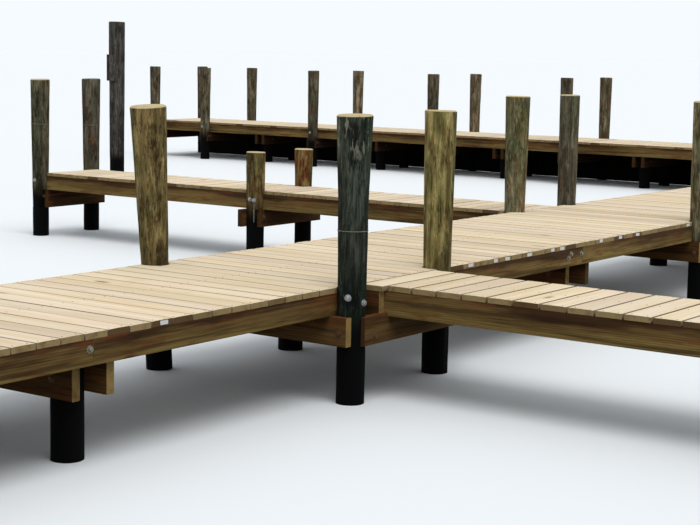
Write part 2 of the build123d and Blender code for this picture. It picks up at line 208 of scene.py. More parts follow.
class JettyFixings(PropertyGroup):
    """Sizes of the screws, bolts, washers and end tags."""

    screw_width: length("Screw width", "Width of a deck screw's head", 0.009)
    screw_spread: length("Screw spread", "Distance between the two screws of a board at a stringer", 0.11)
    bolt_width: length("Bolt width", "Width across the flats of a bolt's head", 0.028)
    bolt_depth: length("Bolt depth", "Height of a bolt's head", 0.014)
    washer_width: length("Washer width", "Width of a round washer", 0.05)
    washer_depth: length("Washer depth", "Thickness of a washer", 0.004)
    tag_width: length("Tag width", "Width of the blank tag on a board's end", 0.07)
    tag_height: length("Tag height", "Height of the blank tag on a board's end", 0.027)


class JettyColours(PropertyGroup):
    """Colours of every finish."""

    deck_pale: colour("Deck, pale", "Sun-bleached boards", 245, 228, 203)
    deck_warm: colour("Deck, warm", "Warmer boards and streaks", 237, 211, 177)
    deck_grey: colour("Deck, grey", "Grey, damp streaks in the boards", 213, 192, 163)
    # Dirt, and painted shade along the gaps between the boards
    deck_edge: colour("Deck, edge", "Dirt along the edges of the boards", 100, 77, 50)
    board_end: colour("Board end", "Cut ends of the boards", 184, 160, 112)
    board_end_dark: colour("Board end, dark", "Dark, reddish cut ends", 88, 64, 38)
    stringer_low: colour("Stringer, low", "Olive lower part of the stringers", 152, 127, 73)
    stringer: colour("Stringer", "Brown of the stringers", 118, 93, 53)
    # Damp wood, and painted shade from the boards above
    stringer_high: colour("Stringer, high", "Damp band below the boards", 66, 44, 23)
    stringer_dark: colour("Stringer, dark", "Dark streaks in the stringers", 42, 26, 14)
    stringer_red: colour("Stringer, red", "Reddish patches", 118, 66, 34)
    cap_low: colour("Cap, low", "Lower part of the caps", 102, 72, 38)
    cap: colour("Cap", "Brown of the caps", 90, 61, 31)
    # Along the top of the caps this is damp wood and painted shade. It is also the main colour of the
    # painted-shade copy of the far finger's caps
    cap_high: colour("Cap, high", "Upper part of the caps", 62, 41, 21)
    cap_dark: colour("Cap, dark", "Damp parts of the caps", 32, 22, 14)
    cap_open: colour("Cap, open", "Caps and headers that stand in the open", 112, 86, 50)
    cap_red: colour("Cap, red", "Orange patches in the caps", 138, 70, 32)
    cut_end: colour("Cut end", "Sawn ends of caps and stringers", 178, 148, 92)
    cut_end_dark: colour("Cut end, dark", "Damp sawn ends", 92, 62, 34)
    # The near-black of the wave screen is painted shade under the far finger's deck
    screen: colour("Screen", "Dark boards of the wave screen", 15, 12, 9)
    screen_light: colour("Screen, light", "Paler streaks in the wave screen", 30, 24, 17)
    # Wet wood and painted shade. The hidden piles, the foot of each pile and the cracks take it
    wet: colour("Wet pile", "Wet, stained wood near the water", 9, 9, 10)
    head: colour("Pile head", "Sawn heads of the piles", 206, 190, 146)
    knot: colour("Knot", "Knots in sawn timber", 96, 62, 36)
    zinc: colour("Zinc", "Galvanised bolts and washers", 168, 170, 170)
    rust: colour("Rust", "Rusty and dirty spots on metal", 84, 66, 54)
    tag: colour("Tag", "Blank end tags", 244, 244, 240)
    band: colour("Band", "Bands round the piles", 140, 140, 124)
    floor: colour("Floor", "Plain floor", 244, 247, 248)


class JettyStage(PropertyGroup):
    """Camera and light."""

    camera_place: FloatVectorProperty(
        name="Camera place",
        description="Where the camera stands",
        subtype="XYZ",
        unit="LENGTH",
        default=(-16.63, -12.414, 2.49),
    )
    heading: angle("Heading", "Direction of view, from +X towards +Y", 35.55)
    pitch: angle("Pitch", "How far the camera looks down", 7.54)
    roll: angle("Roll", "How far the camera's right side is tilted up", 1.057)
    focal: number("Focal length", "Focal length in millimetres, on a sensor 36 mm wide", 82.29)
    sky: number("Sky strength", "Strength of the even light from the sky", 0.68)
    backdrop: number("Backdrop", "Brightness of what the camera sees past the floor", 1.0)
    bounce: number("Floor bounce", "Share of light that the floor throws back on the jetty", 0.13)
    sun: number("Sun strength", "Strength of the soft main light", 1.36)
    sun_spread: angle("Sun spread", "How wide the soft main light is", 40)
    sun_height: angle("Sun height", "Height of the main light above the horizon", 62)
    sun_heading: angle("Sun heading", "Direction that the main light comes from", 235)
    floor_radius: length("Floor radius", "Radius of the plain floor", 900.0)


# Screen values of the even light, and of what the camera sees past the floor
SKY = (246, 250, 255)
BACKDROP = (246, 251, 255)

# Distance that screws keep from a pile's centre
KEEP_CLEAR = 0.15

# Sharpest edges that are still shaded smooth, in degrees
SAWN_ANGLE, PILE_ANGLE, BOLT_ANGLE, BAND_ANGLE = 32, 40, 30, 60

# Piles: points of a whole ring, least rise between rings, depth of the sawn head, how near a timber
# lies that a pile has a dap for, and how far the daps of the middle finger's caps reach to the sides
FULL_RING = 12
CLOSEST_RINGS = 0.004
HEAD_DEPTH = 0.03
DAP_REACH = 0.3
WIDE_DAP = 0.16

# How near a screen panel ends to a pile that cuts it short, and how far it reaches into the pile
PANEL_REACH = 0.12
PANEL_OVERLAP = 0.009

# Height of the bolts, as a share of the depth of a cap and of a stringer
CAP_BOLT_SHARE = 0.46
STRINGER_BOLT_SHARE = 0.62

# Direction that the strap faces, in degrees from +X, and its upper and lower end
STRAP_FACING = 210
STRAP_LEVELS = (0.715, 0.461)

# Bolts that stand beside a pile's row of bolts, by height and angle from -X towards -Y
SIDE_BOLTS = {"middle_left_short_pile": (0.719, 29), "junction_near_pile": (0.77, 20)}

# Places of the blank tags: boards of the walkway, counted from its left end
TAGGED_BOARDS = [16, 35, 37, 38, 40, 42, 43, 47, 49, 51, 57, 58, 66, 71, 78, 83, 90]
TAG_PLACE = 0.67


class Nodes:
    """Adds and links the nodes of one tree."""

    def __init__(self, tree):
        self.tree = tree

    @staticmethod
    def pick(sockets, key):
        """The socket of that name or number that is in use."""
        if isinstance(key, int):
            return sockets[key]
        named = [entry for entry in sockets if entry.name == key]
        return next((entry for entry in named if entry.enabled), named[0])

    def give(self, entry, value):
        """Links or sets an input."""
        if isinstance(value, bpy.types.NodeSocket):
            self.tree.links.new(value, entry)
        else:
            entry.default_value = value

    def node(self, kind, inputs=None, **settings):
        """A node with its settings, and its inputs set or linked."""
        made = self.tree.nodes.new(kind)
        for name, value in settings.items():
            setattr(made, name, value)
        for key, value in (inputs or {}).items():
            self.give(self.pick(made.inputs, key), value)
        return made

    def add(self, kind, inputs=None, output=None, **settings):
        """The named or first output in use of a new node."""
        made = self.node(kind, inputs, **settings)
        if output is not None:
            return self.pick(made.outputs, output)
        return next(entry for entry in made.outputs if entry.enabled)

    def maths(self, operation, *values):
        return self.add("ShaderNodeMath", dict(enumerate(values)), operation=operation)

    def times(self, first, second):
        return self.maths("MULTIPLY", first, second)

    def plus(self, first, second):
        return self.maths("ADD", first, second)

    def vector(self, operation, *values, output="Vector"):
        return self.add("ShaderNodeVectorMath", dict(enumerate(values)), output, operation=operation)

    def scaled(self, vector, factor):
        """A vector times a number."""
        return self.add("ShaderNodeVectorMath", {0: vector, "Scale": factor}, "Vector", operation="SCALE")

    def length_of(self, vector):
        return self.vector("LENGTH", vector, output="Value")

    def parts(self, vector):
        """The X, Y and Z of a vector."""
        return self.node("ShaderNodeSeparateXYZ", {"Vector": vector}).outputs

    def combined(self, x=0.0, y=0.0, z=0.0):
        return self.add("ShaderNodeCombineXYZ", {0: x, 1: y, 2: z})

    def ramp(self, value, low, high, first=0.0, last=1.0):
        """The value brought from low..high to first..last, smoothly and within its ends."""
        inputs = {"Value": value, "From Min": low, "From Max": high, "To Min": first, "To Max": last}
        return self.add("ShaderNodeMapRange", inputs, interpolation_type="SMOOTHSTEP")

    def noise(self, vector, scale, detail, roughness=0.5, seed=None, output="Fac"):
        inputs = {"Vector": vector, "Scale": scale, "Detail": detail, "Roughness": roughness}
        if seed is None:
            return self.add("ShaderNodeTexNoise", inputs, output)
        return self.add("ShaderNodeTexNoise", {**inputs, "W": seed}, output, noise_dimensions="4D")

    def seen(self):
        """1 for what the camera sees, straight, in reflections or through something clear."""
        rays = self.node("ShaderNodeLightPath").outputs
        seen = self.maths("MAXIMUM", rays["Is Camera Ray"], rays["Is Glossy Ray"])
        return self.maths("MAXIMUM", seen, rays["Is Transmission Ray"])


class Shader(Nodes):
    """The nodes of one finish, whose colour is laid on in layers."""

    def __init__(self, name):
        self.material = bpy.data.materials.new(name)
        self.material.use_nodes = True
        super().__init__(self.material.node_tree)
        self.place = self.add("ShaderNodeTexCoord", output="Object")
        self.base = None

    def mix(self, factor, first, second, blend="MIX"):
        """Two colours mixed. A colour of the settings is given by its name."""
        held = bpy.context.scene.jetty_colours
        first, second = (list(getattr(held, c)) if isinstance(c, str) else c for c in (first, second))
        inputs = {"Factor": factor, "A": first, "B": second}
        return self.add("ShaderNodeMix", inputs, "Result", data_type="RGBA", blend_type=blend)

    def lay(self, factor, shade):
        """Lays a colour over the others."""
        self.base = self.mix(factor, self.base, shade)

    def cover(self, value, low, high, share, shade):
        """Lays up to that share of a colour over the others, where a pattern is high."""
        self.lay(self.ramp(value, low, high, 0.0, share), shade)

    def tint(self, *values):
        """Multiplies the colour by a value for each of red, green and blue, or one for all three."""
        factors = values if len(values) == 3 else values * 3
        made = self.add("ShaderNodeCombineColor", dict(enumerate(factors)))
        self.base = self.mix(1.0, self.base, made, "MULTIPLY")

    def bump(self, height, distance, strength, below=None):
        inputs = {"Height": height, "Distance": distance, "Strength": strength}
        if below is not None:
            inputs["Normal"] = below
        return self.add("ShaderNodeBump", inputs)

    def finish(self, roughness, normal=None, shine=0.12, metallic=0.0):
        """Links the layers to the surface shader. Weathered wood hardly shines."""
        entries = {"Base Color": self.base, "Roughness": roughness}
        entries |= {"Specular IOR Level": shine, "Metallic": metallic}
        if normal is not None:
            entries["Normal"] = normal
        for name, value in entries.items():
            self.give(self.tree.nodes["Principled BSDF"].inputs[name], value)
        return self.material


class Wood(Shader):
    """A wooden finish, with patterns along the grain and a seed for each piece of wood."""

    def __init__(self, name, along="Z", centred=True):
        super().__init__(name)
        self.along = along
        self.seed = self.attribute("seed")
        self.space = self.place
        if centred:
            self.space = self.vector("SUBTRACT", self.place, self.attribute("centre", "Vector"))
        # The seed differs a little between the faces of one timber, so it is rounded
        steady = self.maths("ROUND", self.seed)
        white = self.node("ShaderNodeTexWhiteNoise", {"W": steady}, noise_dimensions="1D").outputs
        self.own = white["Value"]
        self.chance = white["Color"]
        self.shares = self.node("ShaderNodeSeparateColor", {"Color": self.chance}).outputs

    def attribute(self, name, output="Fac"):
        return self.add("ShaderNodeAttribute", output=output, attribute_name=name)

    def stretched(self, vector, grain, across):
        """Coordinates for a pattern that is long along the grain."""
        scale = [across] * 3
        scale["XYZ".index(self.along)] = grain
        return self.vector("MULTIPLY", vector, scale)

    def grain(self, grain, across, detail, roughness=0.6, scale=1.0):
        """A pattern that is long along the grain."""
        return self.noise(self.stretched(self.space, grain, across), scale, detail, roughness, self.seed)

    def speckle(self, scale):
        return self.noise(self.space, scale, 3.0, 0.6, self.seed)

    def rings(self, spacing):
        """Growth rings round a pith that lies somewhere beside the timber."""
        offset = self.vector("SUBTRACT", self.chance, (0.5, 0.5, 0.5))
        offset = self.vector("MULTIPLY", offset, (0.16, 0.16, 0.16))
        across = self.stretched(self.vector("ADD", self.space, offset), 0.0, 1.0)
        wander = self.grain(0.5, 4.0, 2.0, 0.5, 1.6)
        radius = self.plus(self.length_of(across), self.times(wander, 0.03))
        turns = self.times(radius, 2 * math.pi / spacing)
        return self.maths("MULTIPLY_ADD", self.maths("SINE", turns), 0.5, 0.5)

    def knots(self, spread):
        """A mask that is 1 in the knots and falls off round them."""
        shift = self.scaled((1.7, 3.1, 2.3), self.seed)
        moved = self.vector("ADD", self.stretched(self.space, 1.1, 3.4), shift)
        cells = self.node("ShaderNodeTexVoronoi", {"Vector": moved, "Scale": 1.0}).outputs
        parts = self.node("ShaderNodeSeparateColor", {"Color": cells["Color"]}).outputs
        chosen = self.maths("LESS_THAN", parts[0], spread)
        return self.times(chosen, self.ramp(cells["Distance"], 0.03, 0.12, 1.0, 0.0))


def deck_finish(along):
    """Pale weathered board with streaks, growth rings, a few knots, and edges darkened by dirt and painted
    shade along the gaps.
    """
    wood = Wood(f"deck_board_along_{along.lower()}", along)
    streaks = wood.grain(0.7, 16.0, 4.0)
    fibres = wood.grain(5.0, 150.0, 3.0)
    rings = wood.rings(0.011)
    wood.base = wood.mix(wood.ramp(streaks, 0.4, 0.64), "deck_pale", "deck_warm")
    wood.cover(wood.shares[0], 0.45, 1.0, 0.4, "deck_grey")
    wood.lay(wood.times(rings, 0.2), "deck_grey")
    wood.cover(wood.speckle(2.2), 0.56, 0.75, 0.4, "deck_grey")
    wood.cover(fibres, 0.52, 0.72, 0.22, "board_end")
    wood.lay(wood.times(wood.knots(0.3), 0.75), "knot")
    # Dirt and painted shade: the board darkens towards its edges, along the gaps between boards
    across = wood.parts(wood.vector("ABSOLUTE", wood.space))["YX".index(along)]
    inside = wood.maths("SUBTRACT", across, wood.attribute("half"))
    wood.cover(inside, -0.006, -0.001, 0.75, "deck_edge")
    value = wood.ramp(wood.shares[1], 0.0, 1.0, 0.89, 1.0)
    warmth = wood.ramp(wood.shares[2], 0.0, 1.0, 0.92, 1.0)
    wood.tint(value, value, wood.times(value, warmth))
    normal = wood.bump(fibres, 0.0012, 0.7, wood.bump(rings, 0.0006, 0.5))
    return wood.finish(wood.ramp(streaks, 0.2, 0.8, 0.72, 0.9), normal)


def end_finish(name, along, pale, dark, share):
    """Sawn end grain with arcs of growth rings. Some ends are dark."""
    wood = Wood(f"{name}_along_{along.lower()}", along)
    rings = wood.rings(0.009)
    fine = wood.speckle(260.0)
    wood.base = wood.mix(wood.times(rings, 0.4), pale, dark)
    wood.cover(wood.speckle(14.0), 0.45, 0.75, 0.6, dark)
    wood.cover(wood.shares[1], share, share + 0.12, 0.85, dark)
    wood.cover(fine, 0.45, 0.7, 0.3, dark)
    return wood.finish(0.86, wood.bump(wood.plus(rings, fine), 0.0007, 0.6))


def timber_finish(name, along, low, main, high, dark, red, red_share):
    """Rough timber: long streaks, growth rings, knots, reddish patches, and darker towards its top, where
    damp wood and painted shade from what lies on it show.
    """
    wood = Wood(f"{name}_along_{along.lower()}", along)
    streaks = wood.grain(0.8, 24.0, 5.0, 0.62)
    fibres = wood.grain(6.0, 170.0, 3.0)
    wander = wood.maths("MULTIPLY_ADD", wood.grain(1.2, 8.0, 3.0, 0.55), 0.3, -0.15)
    height = wood.plus(wood.parts(wood.space)[2], wander)
    wood.base = wood.mix(wood.ramp(height, -0.075, 0.02), low, main)
    # Painted shade, with damp: a dark band along the top, in the shade of what lies on the timber
    wood.cover(height, 0.015, 0.08, 1.0, high)
    wood.cover(wood.grain(1.7, 12.0, 3.0, scale=1.3), 0.52, 0.64, red_share, red)
    wood.cover(wood.rings(0.016), 0.35, 1.0, 0.3, dark)
    wood.cover(streaks, 0.5, 0.62, 0.6, dark)
    wood.cover(fibres, 0.5, 0.7, 0.35, dark)
    wood.lay(wood.knots(0.45), dark)
    value = wood.ramp(wood.shares[1], 0.0, 1.0, 0.88, 1.14)
    wood.tint(wood.times(value, wood.ramp(streaks, 0.34, 0.5, 1.22, 1.0)))
    normal = wood.bump(fibres, 0.0016, 0.8, wood.bump(streaks, 0.002, 0.5))
    return wood.finish(wood.ramp(streaks, 0.2, 0.8, 0.74, 0.9), normal)


def screen_finish():
    """Upright boards, near-black with painted shade under the far finger's deck."""
    wood = Wood("screen_board")
    streaks = wood.grain(1.2, 24.0, 4.0)
    lift = wood.times(wood.ramp(streaks, 0.42, 0.65), wood.shares[0])
    wood.base = wood.mix(lift, "screen", "screen_light")
    return wood.finish(0.85, wood.bump(streaks, 0.0015, 0.8), shine=0.05)


def pile_finish(name, shades, blotches, mossy, reddish, scraped):
    """Round pile: streaks, dashes of bark, stains, cracks painted dark as painted shade, and wet and black
    towards the water, which is also painted shade under the decks.
    """
    main, light, dark, moss, red = (list(tone(*shade)) for shade in shades)
    wood = Wood(f"pile_{name}", centred=False)
    dashes = wood.grain(13.0, 70.0, 3.0, 0.7)
    fine = wood.grain(5.0, 110.0, 3.0, 0.65)
    blotch = wood.grain(3.4, 8.0, 4.0)
    wood.base = wood.mix(wood.ramp(wood.grain(1.6, 20.0, 4.0), 0.42, 0.58), main, light)
    wood.cover(wood.grain(2.2, 7.0, 3.0, scale=1.9), 0.5, 0.6, reddish, red)
    wood.cover(wood.grain(1.4, 6.0, 3.0, scale=1.3), 0.48, 0.6, mossy, moss)
    wood.cover(blotch, 0.5, 0.62, blotches, dark)
    wood.cover(dashes, 0.52, 0.64, 0.7, dark)
    wood.cover(fine, 0.52, 0.7, 0.5, dark)
    wood.cover(wood.grain(9.0, 48.0, 2.0, scale=1.7), 0.57, 0.68, 0.7, light)
    height = wood.parts(wood.place)[2]
    broad = wood.ramp(wood.grain(1.9, 9.5, 2.0, 0.5, 2.3), 0.38, 0.62, 0.66, 1.3)
    value = wood.times(broad, wood.ramp(height, 0.8, 1.9, 0.82, 1.08))
    if name == "dark":
        # The piles of a row differ from one another
        value = wood.times(value, wood.ramp(wood.own, 0.0, 1.0, 0.85, 1.45))
    wood.tint(value)
    if scraped:
        cuts = wood.ramp(wood.grain(7.0, 26.0, 4.0, 0.7), 0.54, 0.64, 0.0, scraped)
        wood.lay(wood.times(wood.ramp(height, 1.55, 1.95), cuts), "band")
    # Painted shade: the cracks are painted near-black
    from_middle = wood.maths("SUBTRACT", wood.grain(0.9, 38.0, 2.0, 0.5), 0.5)
    crack = wood.ramp(wood.maths("ABSOLUTE", from_middle), 0.0, 0.014, 1.0, 0.0)
    wood.lay(wood.times(crack, 0.6), "wet")
    # Wet wood and painted shade: black towards the water, under the decks
    level = wood.plus(height, wood.maths("MULTIPLY_ADD", blotch, 0.3, -0.15))
    wood.lay(wood.ramp(level, 0.48, 0.76, 1.0, 0.0), "wet")
    low = wood.bump(crack, 0.004, 0.6)
    low.node.invert = True
    normal = wood.bump(wood.maths("SUBTRACT", fine, dashes), 0.003, 0.9, low)
    return wood.finish(0.88, normal, shine=0.06)


def head_finish():
    """Sawn head of a pile, with growth rings and cracks that run out from the pith."""
    wood = Wood("pile_head")
    flat = wood.vector("MULTIPLY", wood.space, (1.0, 1.0, 0.0))
    wander = wood.noise(flat, 9.0, 2.0, 0.5, wood.seed)
    radius = wood.plus(wood.length_of(flat), wood.times(wander, 0.02))
    rings = wood.maths("SINE", wood.times(radius, 2 * math.pi / 0.008))
    local = wood.parts(wood.space)
    around = wood.maths("ARCTAN2", local[1], local[0])
    spokes = wood.plus(wood.times(around, 3.5), wood.times(wander, 5.0))
    spokes = wood.maths("SINE", wood.plus(spokes, wood.times(wood.seed, 3.7)))
    crack = wood.ramp(wood.maths("ABSOLUTE", spokes), 0.0, 0.06, 1.0, 0.0)
    wood.base = wood.mix(wood.maths("MULTIPLY_ADD", rings, 0.15, 0.15), "head", "board_end")
    wood.cover(wood.noise(flat, 16.0, 3.0, 0.6, wood.seed), 0.5, 0.75, 0.5, "board_end")
    # Painted shade: the cracks in the head are painted dark
    wood.lay(wood.times(crack, 0.8), "board_end_dark")
    return wood.finish(0.88, wood.bump(rings, 0.0006, 0.5))


def metal_finish(name, main, spot, metallic, share):
    """Dull metal with dirty spots."""
    shader = Shader(name)
    spots = shader.noise(shader.place, 90.0, 4.0, 0.65)
    shader.base = shader.mix(shader.ramp(spots, 0.45, 0.7, 0.0, share), main, spot)
    rough = shader.ramp(spots, 0.3, 0.7, 0.42, 0.7)
    return shader.finish(rough, shader.bump(spots, 0.0006, 0.5), 0.3, metallic)


def dirty_finish(name, main, dirt, scale, low, high, share, rough, relief, strength):
    """A plain finish with dirt on it."""
    shader = Shader(name)
    spots = shader.noise(shader.place, scale, 3.0, 0.6)
    shader.base = shader.mix(shader.ramp(spots, low, high, 0.0, share), main, dirt)
    return shader.finish(rough, shader.bump(spots, relief, strength))


def floor_finish(bounce):
    """Plain pale floor. It looks pale to the camera and in reflections, and throws back little light."""
    shader = Shader("plain_floor")
    shader.base = shader.mix(shader.seen(), [bounce, bounce, bounce, 1.0], "floor")
    return shader.finish(0.95)


# Looks of the piles: main, light, dark, mossy and reddish shades, then how much of the blotches,
# the moss, the red and the scrapes shows
PILE_LOOKS = {
    "green_black": (
        ((46, 50, 44), (80, 87, 76), (21, 23, 21), (35, 49, 37), (56, 48, 40)),
        0.8, 0.7, 0.2, 1,
    ),
    "tan": (
        ((114, 102, 66), (154, 138, 94), (56, 43, 26), (92, 90, 54), (100, 70, 42)),
        0.8, 0.5, 0.4, 0,
    ),
    "olive": (
        ((124, 114, 70), (166, 154, 102), (62, 50, 28), (94, 98, 52), (104, 74, 40)),
        0.5, 0.45, 0.45, 0,
    ),
    "mossy": (
        ((116, 110, 80), (150, 144, 112), (54, 46, 29), (88, 98, 66), (104, 72, 46)),
        0.6, 0.7, 0.7, 0,
    ),
    "grey": (
        ((92, 88, 72), (120, 116, 98), (48, 43, 34), (74, 80, 60), (88, 65, 48)),
        0.6, 0.6, 0.4, 0,
    ),
    "brown": (
        ((114, 96, 60), (154, 136, 90), (56, 42, 25), (88, 90, 48), (106, 64, 38)),
        0.5, 0.5, 0.8, 0,
    ),
    "red_brown": (
        ((118, 94, 58), (150, 128, 84), (62, 40, 23), (88, 86, 46), (112, 60, 32)),
        0.5, 0.3, 0.9, 0,
    ),
    "green_brown": (
        ((88, 84, 66), (120, 114, 90), (42, 39, 29), (58, 70, 50), (86, 66, 46)),
        0.6, 0.6, 0.4, 0,
    ),
    "grey_red": (
        ((88, 84, 70), (118, 113, 96), (44, 40, 32), (68, 72, 56), (106, 68, 48)),
        0.6, 0.3, 0.7, 0,
    ),
    "dark": (
        ((94, 86, 69), (126, 118, 95), (44, 39, 30), (72, 78, 56), (96, 64, 44)),
        0.6, 0.4, 0.7, 0,
    ),
    "black_brown": (
        ((78, 76, 71), (104, 101, 94), (40, 37, 34), (64, 68, 58), (80, 68, 59)),
        0.6, 0.3, 0.4, 0,
    ),
    # Near-black piles: painted shade under the decks, with wet wood
    "wet": (
        ((14, 13, 12), (22, 20, 17), (8, 8, 7), (14, 16, 12), (20, 16, 12)),
        0.6, 0.4, 0.3, 0,
    ),
}


def make_finishes():
    """Every finish, by name. Sawn finishes come in one version for each direction of the grain."""
    made = {}
    for along in "XY":
        made["board", along] = deck_finish(along)
        made["board_end", along] = end_finish("board_end", along, "board_end", "board_end_dark", 0.75)
    for along in "XYZ":
        for name, look in TIMBER_LOOKS.items():
            made[name, along] = timber_finish(name, along, *look)
        for name, (pale, share) in END_LOOKS.items():
            made[name, along] = end_finish(name, along, pale, "cap_high", share)
    for name, look in PILE_LOOKS.items():
        made["pile", name] = pile_finish(name, *look)
    made["screen", "Z"] = screen_finish()
    made["mooring_board", "Z"] = made["pile", "black_brown"]
    made["head"] = head_finish()
    made["zinc"] = metal_finish("galvanised", "zinc", "rust", 0.55, 0.6)
    made["grey_zinc"] = metal_finish("grey_galvanised", "band", "rust", 0.3, 0.8)
    # A darker, brown copy of the zinc for the bolts down at the caps, under the deck: painted shade, with
    # rust spots
    made["painted_shade_zinc"] = metal_finish("dull_galvanised", "cut_end_dark", "rust", 0.2, 0.7)
    made["screw"] = metal_finish("screw_metal", "rust", "knot", 0.4, 0.7)
    made["tag"] = dirty_finish("blank_tag", "tag", "deck_grey", 70.0, 0.5, 0.8, 0.25, 0.5, 0.0003, 0.4)
    made["band"] = dirty_finish("pile_band", "band", "stringer_dark", 60.0, 0.45, 0.7, 1.0, 0.8, 0.0005, 0.6)
    made["floor"] = floor_finish(bpy.context.scene.jetty_stage.bounce)
    return made


finishes = {}


def solids(node_name):
    """Corner points of each separate solid of a CAD node, from the lowest corner up."""
    welded = bmesh.new()
    welded.from_mesh(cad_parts[node_name].data)
    bmesh.ops.remove_doubles(welded, verts=welded.verts, dist=WELD)
    waiting = set(welded.verts)
    found = []
    for first in welded.verts:
        if first not in waiting:
            continue
        waiting.discard(first)
        stack = [first]
        points = []
        while stack:
            vert = stack.pop()
            points.append(tuple(vert.co))
            for edge in vert.link_edges:
                other = edge.other_vert(vert)
                if other in waiting:
                    waiting.discard(other)
                    stack.append(other)
        found.append(np.array(points))
    welded.free()
    return sorted(found, key=lambda points: tuple(points.min(axis=0).round(4)))


def boxes(node_name):
    """Lowest and highest corner of each solid of a CAD node."""
    return [(points.min(axis=0), points.max(axis=0)) for points in solids(node_name)]


def hold(mesh, name, values):
    """Holds an attribute, with one number or vector for each point of a mesh."""
    values = np.array(values, float)
    kind, field = ("FLOAT_VECTOR", "vector") if values.ndim == 2 else ("FLOAT", "value")
    mesh.attributes.new(name, kind, "POINT").data.foreach_set(field, values.ravel())


def line_mesh(name, lines, **attributes):
    """A mesh of separate lines, each a list of points, with one value of each attribute for a line."""
    mesh = bpy.data.meshes.new(name)
    edges = []
    start = 0
    for line in lines:
        edges += [(start + n, start + n + 1) for n in range(len(line) - 1)]
        start += len(line)
    mesh.from_pydata([tuple(point) for line in lines for point in line], edges, [])
    for key, values in attributes.items():
        hold(mesh, key, [value for line, value in zip(lines, values) for _ in line])
    return mesh


class Tree(Nodes):
    """A Geometry Nodes tree with a mesh going in, and named inputs for its sizes."""

    def __init__(self, name, **labels):
        """The labels of the inputs come as one list for each kind of socket."""
        super().__init__(bpy.data.node_groups.new(name, "GeometryNodeTree"))
        sockets = self.tree.interface
        for side in ("INPUT", "OUTPUT"):
            sockets.new_socket(name="Mesh", in_out=side, socket_type="NodeSocketGeometry")
        for kind, names in labels.items():
            for label in names:
                sockets.new_socket(name=label, in_out="INPUT", socket_type=f"NodeSocket{kind}")
        self.given = self.node("NodeGroupInput").outputs
        self.spot = self.add("GeometryNodeInputPosition")

    def named(self, name, kind="FLOAT"):
        return self.add("GeometryNodeInputNamedAttribute", {"Name": name}, data_type=kind)

    def stored(self, mesh, name, value, kind="FLOAT", domain="POINT"):
        inputs = {"Geometry": mesh, "Name": name, "Value": value}
        return self.add("GeometryNodeStoreNamedAttribute", inputs, data_type=kind, domain=domain)

    def kept_on_faces(self, mesh, *names):
        """Holds the centre and other attributes on faces, so that cutting the mesh keeps them."""
        mesh = self.stored(mesh, "centre", self.named("centre", "FLOAT_VECTOR"), "FLOAT_VECTOR", "FACE")
        for name in names:
            mesh = self.stored(mesh, name, self.named(name), domain="FACE")
        return mesh

    def held(self, label):
        """The mesh of the object that an input holds."""
        return self.add("GeometryNodeObjectInfo", {"Object": self.given[label]}, "Geometry")

    def moved(self, mesh, offset):
        return self.add("GeometryNodeSetPosition", {"Geometry": mesh, "Offset": offset})

    def bowed(self, mesh, scale):
        """A mesh that wanders from straight."""
        wave = self.noise(self.spot, scale, 1.0, seed=self.named("seed"), output="Color")
        wander = self.vector("SUBTRACT", wave, (0.5, 0.5, 0.5))
        return self.moved(mesh, self.scaled(wander, self.given["Bow"]))

    def resampled(self, curve, mode, **steps):
        return self.add("GeometryNodeResampleCurve", {"Curve": curve, **steps}, mode=mode)

    def upright(self, curve, mode="Z_UP"):
        return self.add("GeometryNodeSetCurveNormal", {"Curve": curve}, mode=mode)

    def section(self, depth, cuts):
        """A sawn section with eased corners."""
        inputs = {"Width": self.given["Width"], "Height": depth}
        outline = self.add("GeometryNodeCurvePrimitiveQuadrilateral", inputs, mode="RECTANGLE")
        outline = self.add("GeometryNodeSubdivideCurve", {"Curve": outline, "Cuts": cuts})
        inputs = {"Curve": outline, "Count": 2, "Radius": self.given["Eased Edge"], "Limit Radius": True}
        return self.add("GeometryNodeFilletCurve", inputs, mode="POLY")

    def swept(self, line, outline, **more):
        inputs = {"Curve": line, "Profile Curve": outline, "Fill Caps": True, **more}
        return self.add("GeometryNodeCurveToMesh", inputs)

    def chance(self, low, high, seed):
        """A random value for each point."""
        inputs = {"Min": low, "Max": high, "Seed": seed}
        return self.add("FunctionNodeRandomValue", inputs, data_type="FLOAT")

    def rotation(self, euler):
        return self.add("FunctionNodeEulerToRotation", {"Euler": euler})

    def turned(self, rotation, angle):
        """A rotation with a turn about its own Z before it."""
        inputs = {"Rotation": rotation, "Rotate By": self.rotation(self.combined(z=angle))}
        return self.add("FunctionNodeRotateRotation", inputs, rotation_space="LOCAL")

    def on_points(self, points, instance, rotation, **more):
        inputs = {"Points": points, "Instance": instance, "Rotation": rotation, **more}
        return self.add("GeometryNodeInstanceOnPoints", inputs)

    def cut(self, mesh, label, solver):
        """A mesh less the one that an input holds."""
        inputs = {"Mesh 1": mesh, "Mesh 2": self.held(label)}
        return self.add("GeometryNodeMeshBoolean", inputs, operation="DIFFERENCE", solver=solver)

    def real(self, mesh):
        return self.add("GeometryNodeRealizeInstances", {"Geometry": mesh})

    def end(self, mesh, selection=None, label=None):
        """Ends the tree in Realize Instances and Set Material, with another finish where selected."""
        inputs = {"Geometry": self.real(mesh), "Material": self.given["Finish"]}
        dressed = self.add("GeometryNodeSetMaterial", inputs)
        if selection is not None:
            inputs = {"Geometry": dressed, "Selection": selection, "Material": self.given[label]}
            dressed = self.add("GeometryNodeSetMaterial", inputs)
        self.node("NodeGroupOutput", {"Mesh": dressed})
        return self.tree

    def end_sawn(self, mesh):
        """Ends the tree, with another finish on the cut ends."""
        normal = self.add("GeometryNodeInputNormal")
        facing = self.vector("DOT_PRODUCT", normal, self.given["Grain"], output="Value")
        at_end = self.maths("GREATER_THAN", self.maths("ABSOLUTE", facing), 0.8)
        return self.end(mesh, at_end, "End Finish")


